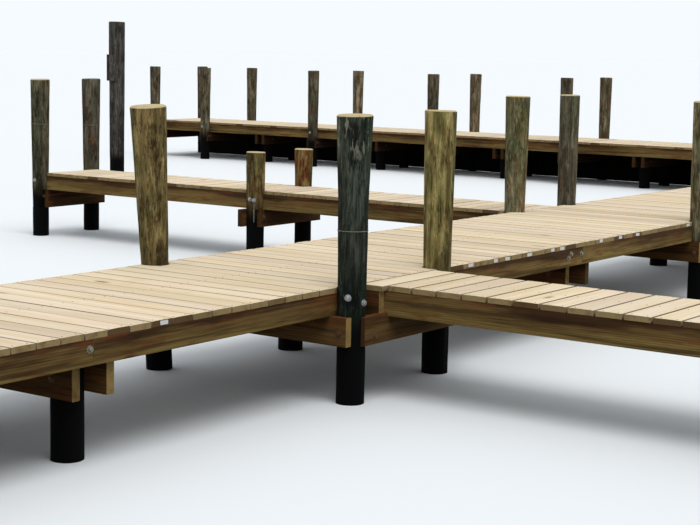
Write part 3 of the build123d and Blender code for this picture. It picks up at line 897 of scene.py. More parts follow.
def board_tree():
    """Rows of boards along the lines of a mesh, notched round the piles, or else their screws."""
    tree = Tree(
        "rows_of_boards",
        Float=[
            "Pitch", "Width", "Length", "Thickness", "Eased Edge", "Cup", "Bow", "End Play",
            "Lift Play", "Turn Play", "Keep Clear",
        ],
        Vector=["Turn", "Grain", "Up"],
        Int=["Seed"],
        Bool=["Screws"],
        Object=["Notches", "Screw Places", "Screw Head", "Pile Centres"],
        Material=["Finish", "End Finish"],
    )
    given = tree.given

    def play(step, label):
        """A random share of a play, to either side, for each board."""
        return tree.times(tree.chance(-1.0, 1.0, tree.plus(given["Seed"], step)), given[label])

    row = tree.add("GeometryNodeMeshToCurve", {"Mesh": given["Mesh"]})
    row = tree.resampled(row, "LENGTH", Length=given["Pitch"])
    row = tree.add("GeometryNodeCurveToPoints", {"Curve": row}, mode="EVALUATED")
    points = tree.moved(row, tree.scaled(given["Up"], play(1, "Lift Play")))

    start, end = (tree.combined(y=tree.times(given["Length"], share)) for share in (-0.5, 0.5))
    line = tree.add("GeometryNodeCurvePrimitiveLine", {"Start": start, "End": end}, mode="POINTS")
    line = tree.upright(tree.resampled(line, "COUNT", Count=9))
    board = tree.swept(line, tree.section(given["Thickness"], 3))
    half = tree.times(given["Width"], 0.5)
    share = tree.maths("DIVIDE", tree.parts(tree.spot)[0], half)
    board = tree.moved(board, tree.combined(z=tree.times(tree.times(share, share), given["Cup"])))

    turn = tree.turned(tree.rotation(given["Turn"]), play(2, "Turn Play"))
    stretch = tree.plus(1.0, tree.maths("DIVIDE", play(3, "End Play"), given["Length"]))
    marked = tree.stored(points, "centre", tree.spot, "FLOAT_VECTOR")
    marked = tree.stored(marked, "seed", tree.chance(0.0, 900.0, tree.plus(given["Seed"], 4)))
    marked = tree.stored(marked, "half", half)
    boards = tree.real(tree.on_points(marked, board, turn, Scale=tree.combined(1.0, stretch, 1.0)))
    boards = tree.bowed(tree.kept_on_faces(boards, "seed", "half"), 0.9)
    notched = tree.cut(boards, "Notches", "EXACT")

    places = tree.real(tree.on_points(points, tree.held("Screw Places"), turn))
    inputs = {0: tree.held("Pile Centres")}
    near = tree.add("GeometryNodeProximity", inputs, "Distance", target_element="POINTS")
    inputs = {"Geometry": places, "Selection": tree.maths("LESS_THAN", near, given["Keep Clear"])}
    places = tree.add("GeometryNodeDeleteGeometry", inputs, domain="POINT")
    spin = tree.combined(z=tree.chance(0.0, 3.0, tree.plus(given["Seed"], 5)))
    screws = tree.on_points(places, tree.held("Screw Head"), tree.rotation(spin))
    inputs = {"Switch": given["Screws"], "False": notched, "True": screws}
    return tree.end_sawn(tree.add("GeometryNodeSwitch", inputs, input_type="GEOMETRY"))


def timber_tree():
    """A sawn timber along each line of a mesh."""
    sizes = ["Width", "Depth", "Eased Edge", "Bow", "Step"]
    tree = Tree("sawn_timbers", Float=sizes, Vector=["Grain"], Material=["Finish", "End Finish"])
    line = tree.add("GeometryNodeMeshToCurve", {"Mesh": tree.given["Mesh"]})
    line = tree.upright(tree.resampled(line, "LENGTH", Length=tree.given["Step"]))
    timber = tree.swept(line, tree.section(tree.given["Depth"], 1))
    return tree.end_sawn(tree.bowed(tree.kept_on_faces(timber, "seed", "half"), 0.8))


def pile_tree():
    """A round pile along each line of a mesh, with lumps, hollows and daps for the timbers."""
    tree = Tree(
        "round_piles",
        Int=["Sides"],
        Float=["Lump", "Flute", "Head Slope", "Deck Top"],
        Object=["Timbers"],
        Material=["Finish", "Head Finish"],
    )
    given = tree.given
    line = tree.add("GeometryNodeMeshToCurve", {"Mesh": given["Mesh"]})
    inputs = {"Resolution": given["Sides"], "Radius": 1.0}
    ring = tree.add("GeometryNodeCurvePrimitiveCircle", inputs, mode="RADIUS")
    pile = tree.swept(tree.upright(line, "MINIMUM_TWIST"), ring, Scale=tree.named("radius"))
    seed = tree.named("seed")
    broad = tree.noise(tree.vector("MULTIPLY", tree.spot, (7.0, 7.0, 2.6)), 1.0, 2.0, seed=seed)
    hollow = tree.noise(tree.vector("MULTIPLY", tree.spot, (24.0, 24.0, 0.9)), 1.0, 3.0, seed=seed)
    lumps = tree.times(tree.maths("SUBTRACT", broad, 0.5), given["Lump"])
    hollows = tree.times(tree.ramp(hollow, 0.5, 0.75, 0.0, -1.0), given["Flute"])
    local = tree.vector("SUBTRACT", tree.spot, tree.named("centre", "FLOAT_VECTOR"))
    away = tree.vector("NORMALIZE", tree.vector("MULTIPLY", local, (1.0, 1.0, 0.0)))
    pile = tree.moved(pile, tree.scaled(away, tree.plus(lumps, hollows)))
    slope = tree.times(tree.times(tree.parts(local)[0], tree.maths("SINE", seed)), given["Head Slope"])
    # The foot of a leaning pile is cut level
    below = tree.maths("MAXIMUM", tree.times(tree.parts(local)[2], -1.0), 0.0)
    fall = tree.plus(tree.times(slope, tree.named("head")), below)
    pile = tree.kept_on_faces(tree.moved(pile, tree.combined(z=fall)), "seed")
    pile = tree.cut(pile, "Timbers", "MANIFOLD")
    up = tree.maths("GREATER_THAN", tree.parts(tree.add("GeometryNodeInputNormal"))[2], 0.6)
    above = tree.maths("GREATER_THAN", tree.parts(tree.spot)[2], given["Deck Top"])
    return tree.end(pile, tree.times(up, above), "Head Finish")


def fixing_tree():
    """A fixing on each point of a mesh, turned to stand out along the point's facing."""
    tree = Tree("fixings", Object=["Fixing"], Material=["Finish"])
    facing = {"Vector": tree.named("facing", "FLOAT_VECTOR")}
    aim = tree.add("FunctionNodeAlignRotationToVector", facing, axis="Z")
    aim = tree.turned(aim, tree.chance(0.0, 1.0, 11))
    return tree.end(tree.on_points(tree.given["Mesh"], tree.held("Fixing"), aim))


def grown(name, tree, values, base=None):
    """The plain mesh that a tree grows from a base mesh, as an object at the origin."""
    holder = bpy.data.objects.new(name, base or bpy.data.meshes.new(name))
    bpy.context.scene.collection.objects.link(holder)
    modifier = holder.modifiers.new("growth", "NODES")
    modifier.node_group = tree
    for item in tree.interface.items_tree:
        if item.in_out == "INPUT" and item.name in values:
            modifier[item.identifier] = values[item.name]
    graph = bpy.context.evaluated_depsgraph_get()
    mesh = bpy.data.meshes.new_from_object(
        holder.evaluated_get(graph), preserve_all_data_layers=True, depsgraph=graph
    )
    holder.modifiers.remove(modifier)
    base_mesh = holder.data
    holder.data = mesh
    bpy.data.meshes.remove(base_mesh)
    mesh.name = name
    if not mesh.polygons:
        raise RuntimeError(f"{name} came out empty")
    return holder


def smooth(piece, degrees):
    """Smooth shading, broken at edges sharper than the angle."""
    piece.data.polygons.foreach_set("use_smooth", [True] * len(piece.data.polygons))
    piece.data.set_sharp_from_angle(angle=math.radians(degrees))


def mesh_object(name, verts, faces, material=None):
    """A plain mesh object at the origin, its faces turned outwards."""
    mesh = bpy.data.meshes.new(name)
    mesh.from_pydata([tuple(v) for v in verts], [], faces)
    shape = bmesh.new()
    shape.from_mesh(mesh)
    bmesh.ops.recalc_face_normals(shape, faces=shape.faces)
    shape.to_mesh(mesh)
    shape.free()
    if material:
        mesh.materials.append(material)
    made = bpy.data.objects.new(name, mesh)
    bpy.context.scene.collection.objects.link(made)
    return made


def box_cutter(name, ranges):
    """A scratch mesh of boxes, for cutting."""
    quads = [(0, 1, 3, 2), (4, 6, 7, 5), (0, 4, 5, 1), (2, 3, 7, 6), (0, 2, 6, 4), (1, 5, 7, 3)]
    verts = []
    faces = []
    for low, high in ranges:
        faces += [tuple(len(verts) + n for n in quad) for quad in quads]
        verts += [(x, y, z) for x in (low[0], high[0]) for y in (low[1], high[1]) for z in (low[2], high[2])]
    return mesh_object(name, verts, faces)


def circle(radius, height, sides, x=0.0, y=0.0):
    """The points of a level ring."""
    turns = [2 * math.pi * n / sides for n in range(sides)]
    return [(x + radius * math.cos(turn), y + radius * math.sin(turn), height) for turn in turns]


def skinned(name, stacks, material=None, looped=False):
    """A mesh of stacks of rings of points. Each stack is closed by its ends, or into a loop."""
    verts = []
    faces = []
    for rings in stacks:
        sides = len(rings[0])
        starts = [len(verts) + n * sides for n in range(len(rings))]
        verts += [point for ring in rings for point in ring]
        for a, b in zip(starts, starts[1:] + starts[:1] if looped else starts[1:]):
            for k in range(sides):
                after = (k + 1) % sides
                faces.append((a + k, a + after, b + after, b + k))
        if not looped:
            faces.append(tuple(starts[0] + k for k in reversed(range(sides))))
            faces.append(tuple(starts[-1] + k for k in range(sides)))
    return mesh_object(name, verts, faces, material)


def round_cutter(name, rounds, low, high, sides=40):
    """A scratch mesh of upright cylinders, each given by its centre and radius."""
    return skinned(name, [[circle(r, z, sides, x, y) for z in (low, high)] for x, y, r in rounds])


def unit(along):
    """A vector of length 1 along an axis."""
    return tuple(1.0 if axis == along else 0.0 for axis in "XYZ")


def discard(*scratch):
    """Removes scratch objects and their meshes."""
    for item in scratch:
        mesh = item.data
        bpy.data.objects.remove(item)
        bpy.data.meshes.remove(mesh)


def finish_piece(piece, nodes):
    """Attaches a piece to the root body, and hides the CAD parts that it stands for."""
    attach(piece, "root")
    if nodes:
        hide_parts(*nodes)


# Piles whose heads are as dark as their sides
DARK_HEADS = ("mooring_pile", "middle_end_right_pile", "far_finger_left_piles", "far_finger_right_piles")


def dapped_heights():
    """The lowest and highest level that a timber lies in a pile's dap."""
    levels = [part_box(name) for name in TIMBERS if name != "mooring_pile_board"]
    return min(low[2] for low, _ in levels), max(high[2] for _, high in levels)


class PileShape:
    """A pile's centre line and radii, read from a CAD solid."""

    def __init__(self, points):
        heights = sorted(set(points[:, 2].round(4)))
        self.top = heights[-1]
        foot = points[np.abs(points[:, 2] - heights[0]) < SAME_LEVEL]
        head = points[np.abs(points[:, 2] - heights[-1]) < SAME_LEVEL]
        self.foot = self.middle(foot)
        whole_head = len(head) >= len(foot)
        self.head = self.middle(head) if whole_head else self.foot
        dap_low, dap_high = dapped_heights()
        self.stations = []
        for height in heights:
            if dap_low - 0.01 < height < dap_high + 0.01 and height < self.top - 0.02:
                continue
            ring = points[np.abs(points[:, 2] - height) < SAME_LEVEL]
            if len(ring) < FULL_RING:
                continue
            centre = self.at(height)
            self.stations.append((height, float(np.hypot(*(ring[:, :2] - centre).T).max())))

    @staticmethod
    def middle(ring):
        return (ring[:, :2].min(axis=0) + ring[:, :2].max(axis=0)) / 2

    def at(self, height):
        """The centre at a height."""
        share = height / self.top
        return self.foot + (self.head - self.foot) * share

    def radius(self, height):
        heights = [station[0] for station in self.stations]
        return float(np.interp(height, heights, [station[1] for station in self.stations]))

    def line(self, step):
        """Centre points from foot to head, with the CAD's own stations kept."""
        levels = {round(float(z), 4) for z in np.linspace(0, self.top, max(3, round(self.top / step)))}
        levels |= {round(float(height), 4) for height, _ in self.stations}
        ordered = sorted(levels)
        kept = [ordered[0]]
        for level in ordered[1:]:
            if level - kept[-1] > CLOSEST_RINGS:
                kept.append(level)
        return [(*self.at(z), z) for z in kept]


def pile_shapes(names):
    return {name: [PileShape(points) for points in solids(name)] for name in names}


def seat(origin, direction, reach=0.6):
    """Where a line of sight first meets the jetty, or None."""
    graph = bpy.context.evaluated_depsgraph_get()
    way = Vector(direction).normalized()
    # A line that runs just through a corner of the mesh can miss it, so a shifted one is tried
    for shift in (0.0, 0.0004, -0.0004):
        start = Vector(origin) + Vector((shift, shift, shift))
        hit, place, *_ = bpy.context.scene.ray_cast(graph, start, way, distance=reach)
        if hit:
            return place
    return None


def sure_seat(name, origin, direction):
    """A seat that has to be found."""
    place = seat(origin, direction)
    if place is None:
        raise RuntimeError(f"{name} found nothing to sit on at {tuple(origin)}")
    return place


def sawn(name, base, width, depth, edge, bow, along, look, end_look):
    """Sawn timbers of one section along the lines of a base mesh."""
    values = {
        "Width": width, "Depth": depth, "Eased Edge": edge, "Bow": bow,
        "Step": bpy.context.scene.jetty_timbers.step, "Grain": unit(along),
        "Finish": finishes[look, along], "End Finish": finishes[end_look, along],
    }
    return grown(name, timber_tree(), values, base)


class JETTY_OT_decking(Operator):
    """Lays the boards of the four decks, notched round the piles, and drives their screws"""

    bl_idname = "jetty.decking"
    bl_label = "Decking"

    def execute(self, context):
        sizes = context.scene.jetty_boards
        fixings = context.scene.jetty_fixings
        tree = board_tree()
        deck_low, deck_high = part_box("walkway_deck")
        top = deck_high[2]
        rounds = [
            (*shape.at(top), shape.radius(top) + sizes.notch_play)
            for group in pile_shapes(PILES).values()
            for shape in group
            if shape.top > top and shape.foot[0] < deck_high[0] + 0.5
        ]
        notches = round_cutter("notch_cutter", rounds, deck_low[2] - 0.05, top + 0.05)
        centres = mesh_object("pile_centres", [(x, y, top) for x, y, _ in rounds], [])
        screw = screw_head("screw_shape", fixings.screw_width)
        for order, (name, (row_axis, groups)) in enumerate(DECKS.items()):
            low, high = (Vector(corner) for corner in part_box(name))
            on_walkway = row_axis == "X"
            along = "Y" if on_walkway else "X"
            row, cross = "XY".index(row_axis), "XY".index(along)
            width, gap = sizes.width, sizes.gap
            if name == "near_finger_deck":
                width, gap = sizes.near_width, sizes.near_gap
                plain = max(boxes(name), key=lambda slab: slab[0][0])
                root_low = low[0]
                low[0] = plain[0][0]
                high[1] -= width + gap
            middle = (low + high) / 2
            start, end = middle.copy(), middle.copy()
            start[row] = low[row] + width / 2
            end[row] = high[row] - width / 2 + WELD
            line = [start, end] if on_walkway else [end, start]
            thickness = high[2] - low[2]
            side = 1 if on_walkway else -1
            stringers = [box for group in groups for box in boxes(group)]
            tracks = sorted({round(float(box[0][cross] + box[1][cross]) / 2, 4) for box in stringers})
            spots = [
                (across, side * (track - middle[cross]), thickness / 2)
                for track in tracks
                for across in (-fixings.screw_spread / 2, fixings.screw_spread / 2)
            ]
            pattern = mesh_object("screw_places", spots, [])
            values = {
                "Pitch": width + gap, "Width": width, "Length": high[cross] - low[cross],
                "Thickness": thickness, "Eased Edge": sizes.edge, "Cup": -sizes.cup, "Bow": sizes.bow,
                "End Play": sizes.end_play, "Lift Play": sizes.lift_play, "Turn Play": sizes.turn_play,
                "Turn": (0.0, 0.0, 0.0 if on_walkway else math.pi / 2), "Grain": unit(along),
                "Up": (0.0, 0.0, 1.0), "Seed": sizes.seed + 10 * order, "Notches": notches,
                "Screws": False, "Screw Places": pattern, "Screw Head": screw, "Pile Centres": centres,
                "Keep Clear": KEEP_CLEAR, "Finish": finishes["board", along],
                "End Finish": finishes["board_end", along],
            }
            metal = {"Screws": True, "Finish": finishes["screw"], "End Finish": finishes["screw"]}
            for suffix, changes, nodes, slot in (
                ("_boards", {}, [name], "deck_board"),
                ("_screws", metal, [], None),
            ):
                piece = grown(name + suffix, tree, values | changes, line_mesh(name, [line]))
                smooth(piece, SAWN_ANGLE)
                finish_piece(piece, nodes)
            discard(pattern)
            if name == "near_finger_deck":
                root_y = high[1] + gap + width / 2
                root_line = [(root_low, root_y, middle[2]), (high[0], root_y, middle[2])]
                self.root_board(sizes, root_line, width, thickness)
        discard(notches, centres, screw)
        return {"FINISHED"}

    def root_board(self, sizes, line, width, thickness):
        """The first board of the near finger, which also covers the root block."""
        middle = (np.array(line[0]) + np.array(line[1])) / 2
        base = line_mesh("root_board", [line], centre=[middle], seed=[55.3], half=[width / 2])
        look = (sizes.edge, sizes.bow, "X", "board", "board_end")
        piece = sawn("near_finger_root_board", base, width, thickness, *look)
        smooth(piece, SAWN_ANGLE)
        finish_piece(piece, [])


def screw_head(name, width):
    """A countersunk screw head, sunk flush, with a round recess."""
    rings = [(0.4, -0.004), (0.5, 0.0004), (0.44, 0.0010), (0.2, 0.0010), (0.16, -0.0012)]
    return skinned(name, [[circle(share * width, height, 10) for share, height in rings]])


def bolt_shape(name, sizes):
    """A hexagon bolt head with a chamfer, on a round washer."""
    rim = sizes.washer_width / 2
    top = sizes.washer_depth
    washer = [circle(r, z, 20) for r, z in ((rim, -0.004), (rim, top * 0.7), (rim * 0.95, top))]
    corner = sizes.bolt_width / math.sqrt(3)
    head = top + sizes.bolt_depth
    levels = ((corner, top), (corner, head - 0.002), (corner * 0.84, head))
    return skinned(name, [washer, [circle(r, z, 6) for r, z in levels]])


class JETTY_OT_timbers(Operator):
    """Dresses the stringers, caps, headers and blocks as sawn timber"""

    bl_idname = "jetty.timbers"
    bl_label = "Timbers"

    def execute(self, context):
        sizes = context.scene.jetty_timbers
        draw = random.Random(4)
        for name, (slot, look, end_look) in TIMBERS.items():
            groups = {}
            for low, high in boxes(name):
                spans = high - low
                axis = 2 if name == "mooring_pile_board" else int(np.argmax(spans[:2]))
                middle = (low + high) / 2
                start, end = middle.copy(), middle.copy()
                start[axis], end[axis] = low[axis], high[axis]
                # The section's width lies across the timber and its depth upright
                wide = spans[1 - axis] if axis < 2 else spans[0]
                deep = spans[2] if axis < 2 else spans[1]
                key = ("XYZ"[axis], round(float(wide), 3), round(float(deep), 3))
                groups.setdefault(key, []).append((start, end, middle))
            parts = []
            for (along, wide, deep), lines in groups.items():
                centres = [middle for _, _, middle in lines]
                seeds = [draw.uniform(0, 900) for _ in lines]
                base = line_mesh(name, [line[:2] for line in lines], centre=centres, seed=seeds)
                looks = (sizes.edge, sizes.bow, along, look, end_look)
                parts.append(sawn(name + "_timbers", base, wide, deep, *looks))
            piece = joined(parts)
            piece.name = name + "_timbers"
            smooth(piece, SAWN_ANGLE)
            finish_piece(piece, [name])
        return {"FINISHED"}


def joined(parts):
    """Several mesh objects as one."""
    if len(parts) > 1:
        with bpy.context.temp_override(
            active_object=parts[0], object=parts[0], selected_objects=parts, selected_editable_objects=parts
        ):
            bpy.ops.object.join()
    return parts[0]


class JETTY_OT_piles(Operator):
    """Dresses the round piles, with daps for the timbers that they carry"""

    bl_idname = "jetty.piles"
    bl_label = "Piles"

    def execute(self, context):
        sizes = context.scene.jetty_piles
        play = sizes.dap_play
        tree = pile_tree()
        draw = random.Random(9)
        ranges = []
        for name in TIMBERS:
            # The daps of the middle finger's caps run across the whole pile
            across = WIDE_DAP if name == "middle_finger_caps" else play
            for low, high in boxes(name):
                ranges.append((low - (across, play, 0.0), high + (across, play, play)))
        deck_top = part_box("walkway_deck")[1][2]
        for name, look in PILES.items():
            shapes = [PileShape(points) for points in solids(name)]
            near = [
                (low, high)
                for low, high in ranges
                if any(
                    np.all(low[:2] < shape.foot + DAP_REACH) and np.all(high[:2] > shape.foot - DAP_REACH)
                    for shape in shapes
                )
            ]
            timbers = box_cutter("dap_cutter", near or [((50, 50, 50), (51, 51, 51))])
            lines = [shape.line(sizes.step) for shape in shapes]
            centres = [(*shape.foot, 0.0) for shape in shapes]
            base = line_mesh(name, lines, centre=centres, seed=[draw.uniform(0, 900) for _ in shapes])
            spots = [(shape, point[2]) for shape, line in zip(shapes, lines) for point in line]
            hold(base, "radius", [shape.radius(z) for shape, z in spots])
            hold(base, "head", [float(z > shape.top - HEAD_DEPTH) for shape, z in spots])
            hidden = shapes[0].top < deck_top
            side = finishes["pile", look]
            values = {
                "Sides": sizes.near_sides if len(shapes) == 1 else sizes.far_sides,
                "Lump": sizes.lump, "Flute": sizes.flute, "Head Slope": 0.0 if hidden else sizes.head_slope,
                "Deck Top": deck_top, "Timbers": timbers, "Finish": side,
                "Head Finish": side if hidden or name in DARK_HEADS else finishes["head"],
            }
            piece = grown(name + "_log", tree, values, base)
            smooth(piece, PILE_ANGLE)
            finish_piece(piece, [name])
            discard(timbers)
        return {"FINISHED"}


class JETTY_OT_wave_screen(Operator):
    """Hangs the upright boards of the wave screen"""

    bl_idname = "jetty.wave_screen"
    bl_label = "Wave screen"

    def execute(self, context):
        sizes = context.scene.jetty_boards
        name = "far_finger_wave_screen"
        tree = board_tree()
        play = sizes.screen_gap
        screen_low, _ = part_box(name)
        caps = boxes("far_finger_caps")
        cutter = box_cutter("cap_cutter", [(a - play, b + play) for a, b in caps if b[0] > screen_low[0]])
        parts = []
        for order, (low, high) in enumerate(boxes(name)):
            # The rows run up to the round sides of the piles that stand in the line of the screen
            for points in solids("far_finger_right_piles"):
                shape = PileShape(points)
                side = shape.foot[1]
                depth = min(abs(low[0] - shape.foot[0]), abs(high[0] - shape.foot[0]))
                clear = math.sqrt((shape.radius(low[2]) - PANEL_OVERLAP) ** 2 - depth ** 2)
                if abs(low[1] - side) < PANEL_REACH:
                    low[1] = side + clear
                if abs(high[1] - side) < PANEL_REACH:
                    high[1] = side - clear
            low[2] += 2 * sizes.end_play
            span = high[1] - low[1]
            width = span / round(span / sizes.width) - play
            start, end = Vector((low + high) / 2), Vector((low + high) / 2)
            start[1], end[1] = low[1] + width / 2, high[1] - width / 2 + WELD
            values = {
                "Pitch": width + play, "Width": width, "Length": high[2] - low[2],
                "Thickness": high[0] - low[0], "Eased Edge": 0.0015, "Cup": 0.0, "Bow": sizes.bow * 0.3,
                "End Play": -sizes.end_play, "Lift Play": sizes.lift_play, "Turn Play": 0.0,
                "Turn": (math.pi / 2, 0.0, math.pi / 2), "Grain": unit("Z"), "Up": unit("X"),
                "Seed": sizes.seed + 50 + order, "Notches": cutter, "Screws": False,
                "Finish": finishes["screen", "Z"], "End Finish": finishes["cut_end", "Z"],
            }
            parts.append(grown("wave_screen_boards", tree, values, line_mesh(name, [[start, end]])))
        discard(cutter)
        piece = joined(parts)
        piece.name = "wave_screen_boards"
        smooth(piece, SAWN_ANGLE)
        finish_piece(piece, [name])
        return {"FINISHED"}


class JETTY_OT_bolts(Operator):
    """Puts bolt heads with washers where timbers are bolted through the piles and at the joints"""

    bl_idname = "jetty.bolts"
    bl_label = "Bolts"

    def execute(self, context):
        cap_low, cap_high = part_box("junction_caps")
        cap_height = cap_low[2] + CAP_BOLT_SHARE * (cap_high[2] - cap_low[2])
        low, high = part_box("walkway_near_stringer")
        height = low[2] + STRINGER_BOLT_SHARE * (high[2] - low[2])
        deck_low, deck_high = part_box("walkway_deck")
        places = []

        def aim(x, y, z, way):
            """Looks from outside towards the pile, and keeps what is met first."""
            place = seat(Vector((x, y, z)) + Vector(way) * 0.5, -Vector(way))
            if place is not None:
                places.append((place, way))

        for name, group in pile_shapes(PILES).items():
            if name == "mooring_pile":
                continue
            for shape in group:
                x, y = shape.at(cap_height)
                on_walkway = deck_low[1] - 0.2 < y < deck_high[1] + 0.2
                for way in [(1, 0, 0), (-1, 0, 0)] if on_walkway else [(0, 1, 0), (0, -1, 0)]:
                    aim(x, y, cap_height, way)
                if shape.top < deck_high[2]:
                    continue
                if on_walkway:
                    aim(x, y, height, (0, -1, 0) if y < (deck_low[1] + deck_high[1]) / 2 else (0, 1, 0))
                else:
                    finger = next((word for word in ("near", "middle") if word in name), "far")
                    deck = f"{finger}_finger_deck"
                    left, right = (corner[0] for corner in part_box(deck))
                    aim(x, y, height, (-1, 0, 0) if x < (left + right) / 2 else (1, 0, 0))
        for name, (level, degrees) in SIDE_BOLTS.items():
            turn = math.radians(degrees)
            aim(*PileShape(solids(name)[0]).at(level), level, (-math.cos(turn), -math.sin(turn), 0))
        in_piles = len(places)
        for name, outward in (("walkway_near_stringer", (0, -1, 0)), ("walkway_far_stringer", (0, 1, 0))):
            ends = boxes(name)
            for start, end in ends[:-1]:
                aim(end[0] - 0.027, start[1], height, outward)
            for across, rise in ((-0.22, 0.012), (-0.265, -0.022)):
                aim(ends[2][1][0] + across, ends[2][0][1], height + rise, outward)
        header_low, header_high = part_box("near_finger_header")
        for x in (header_low[0] + 0.126, header_high[0] - 0.13):
            aim(x, header_low[1], header_low[2] + 0.057, (0, -1, 0))
        shape = bolt_shape("bolt_shape", context.scene.jetty_fixings)
        tree = fixing_tree()
        for name, look, chosen in (
            ("pile_bolts", "zinc", [entry for entry in places[:in_piles] if entry[0][2] >= low[2]]),
            ("stringer_bolts", "grey_zinc", [entry for entry in places[in_piles:] if entry[0][2] >= low[2]]),
            # The bolts at the caps take the painted-shade copy of the zinc
            ("cap_bolts", "painted_shade_zinc", [entry for entry in places if entry[0][2] < low[2]]),
        ):
            base = line_mesh(name, [[place] for place, _ in chosen])
            hold(base, "facing", [way for _, way in chosen])
            piece = grown(name, tree, {"Fixing": shape, "Finish": finishes[look]}, base)
            smooth(piece, BOLT_ANGLE)
            finish_piece(piece, [])
        discard(shape)
        return {"FINISHED"}


class JETTY_OT_tags(Operator):
    """Staples the blank tags to the board ends"""

    bl_idname = "jetty.tags"
    bl_label = "End tags"

    def execute(self, context):
        sizes = context.scene.jetty_fixings
        boards = context.scene.jetty_boards
        low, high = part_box("walkway_deck")
        span = high[0] - low[0]
        pitch = (span - boards.width) / round(span / (boards.width + boards.gap) - 1)
        draw = random.Random(21)
        corner = 0.004
        tall = sizes.tag_height / 2
        stacks = []
        for board in TAGGED_BOARDS:
            x = low[0] + board * pitch + TAG_PLACE * boards.width + draw.uniform(-0.02, 0.02)
            z = (low[2] + high[2]) / 2 + draw.uniform(-0.003, 0.002)
            place = sure_seat("a tag", (x, low[1] - 0.3, z), (0, 1, 0))
            wide = sizes.tag_width / 2 * draw.uniform(0.85, 1.1)
            tilt = draw.uniform(-0.08, 0.08)
            rim = []
            for sx, sz in ((-1, -1), (1, -1), (1, 1), (-1, 1)):
                for dx, dz in ((corner, 0), (0, corner)) if sx * sz < 0 else ((0, corner), (corner, 0)):
                    u, v = sx * (wide - dx), sz * (tall - dz)
                    across = u * math.cos(tilt) - v * math.sin(tilt)
                    rim.append((across, u * math.sin(tilt) + v * math.cos(tilt)))
            x, y, z = place
            stacks.append([[(x + u, y + depth, z + v) for u, v in rim] for depth in (0.003, -0.0012)])
        finish_piece(skinned("board_end_tags", stacks, finishes["tag"]), [])
        return {"FINISHED"}


# Piles with a band round them, and the band's height above the deck
BANDS = {"junction_near_pile": 0.408, "middle_end_left_pile": 0.637, "middle_end_right_pile": 0.60}


class JETTY_OT_bands(Operator):
    """Ties the thin bands round three of the piles, and hangs the strap on a short pile"""

    bl_idname = "jetty.bands"
    bl_label = "Bands"

    def execute(self, context):
        size = context.scene.jetty_piles.band_size
        deck_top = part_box("walkway_deck")[1][2]
        steps, sides = 64, 8
        for name, rise in BANDS.items():
            height = deck_top + rise
            middle = Vector((*PileShape(solids(name)[0]).at(height), height))
            rings = []
            for n in range(steps):
                turn = 2 * math.pi * n / steps
                way = Vector((math.cos(turn), math.sin(turn), 0))
                place = sure_seat(f"the band of {name}", middle + way * 0.4, -way)
                centre = middle + way * ((place - middle).length + size * 0.3)
                cord = circle(size / 2, 0.0, sides)
                rings.append([centre + way * u + Vector((0, 0, v)) for u, v, _ in cord])
            piece = skinned(name + "_band", [rings], finishes["band"], looped=True)
            smooth(piece, BAND_ANGLE)
            finish_piece(piece, [])
        self.strap()
        return {"FINISHED"}

    def strap(self):
        """A flat strap that hangs down the near side of the left short pile."""
        shape = PileShape(solids("middle_left_short_pile")[0])
        facing = math.radians(STRAP_FACING)
        way = Vector((math.cos(facing), math.sin(facing), 0))
        side = Vector((-way[1], way[0], 0))
        corners = ((-0.002, -0.0045), (-0.002, 0.0045), (0.003, 0.0045), (0.003, -0.0045))
        rings = []
        for z in np.linspace(*STRAP_LEVELS, 9):
            place = sure_seat("the strap", Vector((*shape.at(z), z)) + way * 0.4, -way)
            rings.append([place + way * depth + side * across for depth, across in corners])
        finish_piece(skinned("short_pile_strap", [rings], finishes["band"]), [])


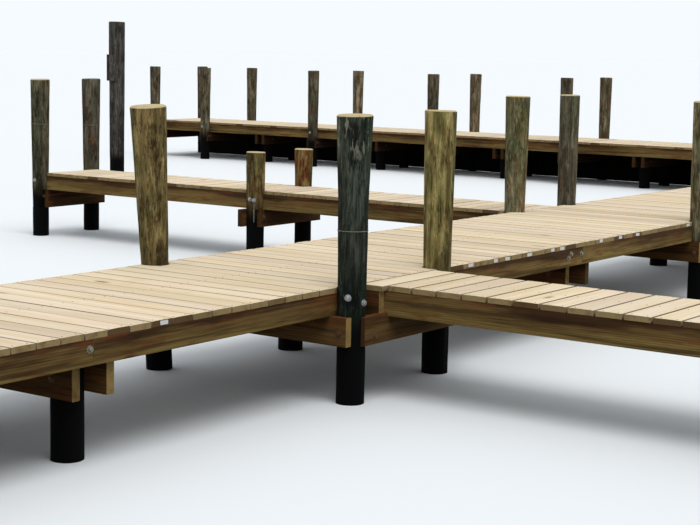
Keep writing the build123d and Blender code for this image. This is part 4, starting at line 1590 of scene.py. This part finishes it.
class JETTY_OT_stage(Operator):
    """Sets the plain floor, the soft light, and the camera at the viewing angle"""

    bl_idname = "jetty.stage"
    bl_label = "Stage"

    def execute(self, context):
        stage = context.scene.jetty_stage
        self.place_camera(context, stage)
        rim = circle(stage.floor_radius, -0.0005, 96)
        floor = mesh_object("floor", rim, [tuple(range(len(rim)))], finishes["floor"])
        sun = bpy.data.lights.new("main_light", "SUN")
        sun.energy = stage.sun
        sun.angle = stage.sun_spread
        lamp = bpy.data.objects.new("main_light", sun)
        context.scene.collection.objects.link(lamp)
        across = math.cos(stage.sun_height)
        east, north = across * math.cos(stage.sun_heading), across * math.sin(stage.sun_heading)
        lamp.rotation_mode = "QUATERNION"
        source = Vector((east, north, math.sin(stage.sun_height)))
        lamp.rotation_quaternion = source.to_track_quat("Z", "Y")
        world = bpy.data.worlds.new("even_sky")
        world.use_nodes = True
        world.node_tree.nodes.clear()
        nodes = Nodes(world.node_tree)
        light = nodes.add("ShaderNodeBackground", {"Color": tone(*SKY), "Strength": stage.sky})
        shown = nodes.add("ShaderNodeBackground", {"Color": tone(*BACKDROP), "Strength": stage.backdrop})
        both = nodes.add("ShaderNodeMixShader", {0: nodes.seen(), 1: light, 2: shown})
        nodes.node("ShaderNodeOutputWorld", {"Surface": both})
        context.scene.world = world
        context.scene.view_settings.view_transform = "Standard"
        return {"FINISHED"}

    def place_camera(self, context, stage):
        """The camera, from its heading, pitch and roll."""
        data = bpy.data.cameras.new("view")
        data.sensor_width = 36
        data.lens = stage.focal
        data.clip_end = 4000
        camera = bpy.data.objects.new("view", data)
        context.scene.collection.objects.link(camera)
        level = math.cos(stage.pitch)
        ahead, aside = math.cos(stage.heading), math.sin(stage.heading)
        forward = Vector((level * ahead, level * aside, -math.sin(stage.pitch)))
        flat_right = Vector((aside, -ahead, 0))
        flat_up = flat_right.cross(forward)
        right = flat_right * math.cos(stage.roll) + flat_up * math.sin(stage.roll)
        turn = Matrix((right, right.cross(forward), -forward)).transposed()
        camera.matrix_world = Matrix.Translation(stage.camera_place) @ turn.to_4x4()
        context.scene.camera = camera


class JETTY_PT_sidebar(Panel):
    """Lists the steps and their sizes"""

    bl_label = "Wooden Jetty"
    bl_idname = "JETTY_PT_sidebar"
    bl_space_type = "VIEW_3D"
    bl_region_type = "UI"
    bl_category = "Jetty"

    def draw(self, context):
        for step in STEPS:
            self.layout.operator(step.bl_idname)
        for group in SETTINGS:
            box = self.layout.box()
            box.label(text=group)
            settings = getattr(context.scene, group)
            for name in settings.__annotations__:
                box.prop(settings, name)


SETTINGS = {
    "jetty_boards": JettyBoards,
    "jetty_timbers": JettyTimbers,
    "jetty_piles": JettyPiles,
    "jetty_fixings": JettyFixings,
    "jetty_colours": JettyColours,
    "jetty_stage": JettyStage,
}
STEPS = [
    JETTY_OT_decking,
    JETTY_OT_timbers,
    JETTY_OT_piles,
    JETTY_OT_wave_screen,
    JETTY_OT_bolts,
    JETTY_OT_tags,
    JETTY_OT_bands,
    JETTY_OT_stage,
]


def register():
    for group in SETTINGS.values():
        bpy.utils.register_class(group)
    for name, group in SETTINGS.items():
        setattr(bpy.types.Scene, name, PointerProperty(type=group))
    for step in STEPS:
        bpy.utils.register_class(step)
    bpy.utils.register_class(JETTY_PT_sidebar)


def unregister():
    bpy.utils.unregister_class(JETTY_PT_sidebar)
    for step in reversed(STEPS):
        bpy.utils.unregister_class(step)
    for name in SETTINGS:
        delattr(bpy.types.Scene, name)
    for group in reversed(list(SETTINGS.values())):
        bpy.utils.unregister_class(group)


def main():
    """Registers the add-on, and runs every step."""
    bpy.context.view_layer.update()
    register()
    finishes.update(make_finishes())
    for step in STEPS:
        area, name = step.bl_idname.split(".")
        getattr(getattr(bpy.ops, area), name)()
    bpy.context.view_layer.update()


if __name__ == "__main__":
    main()
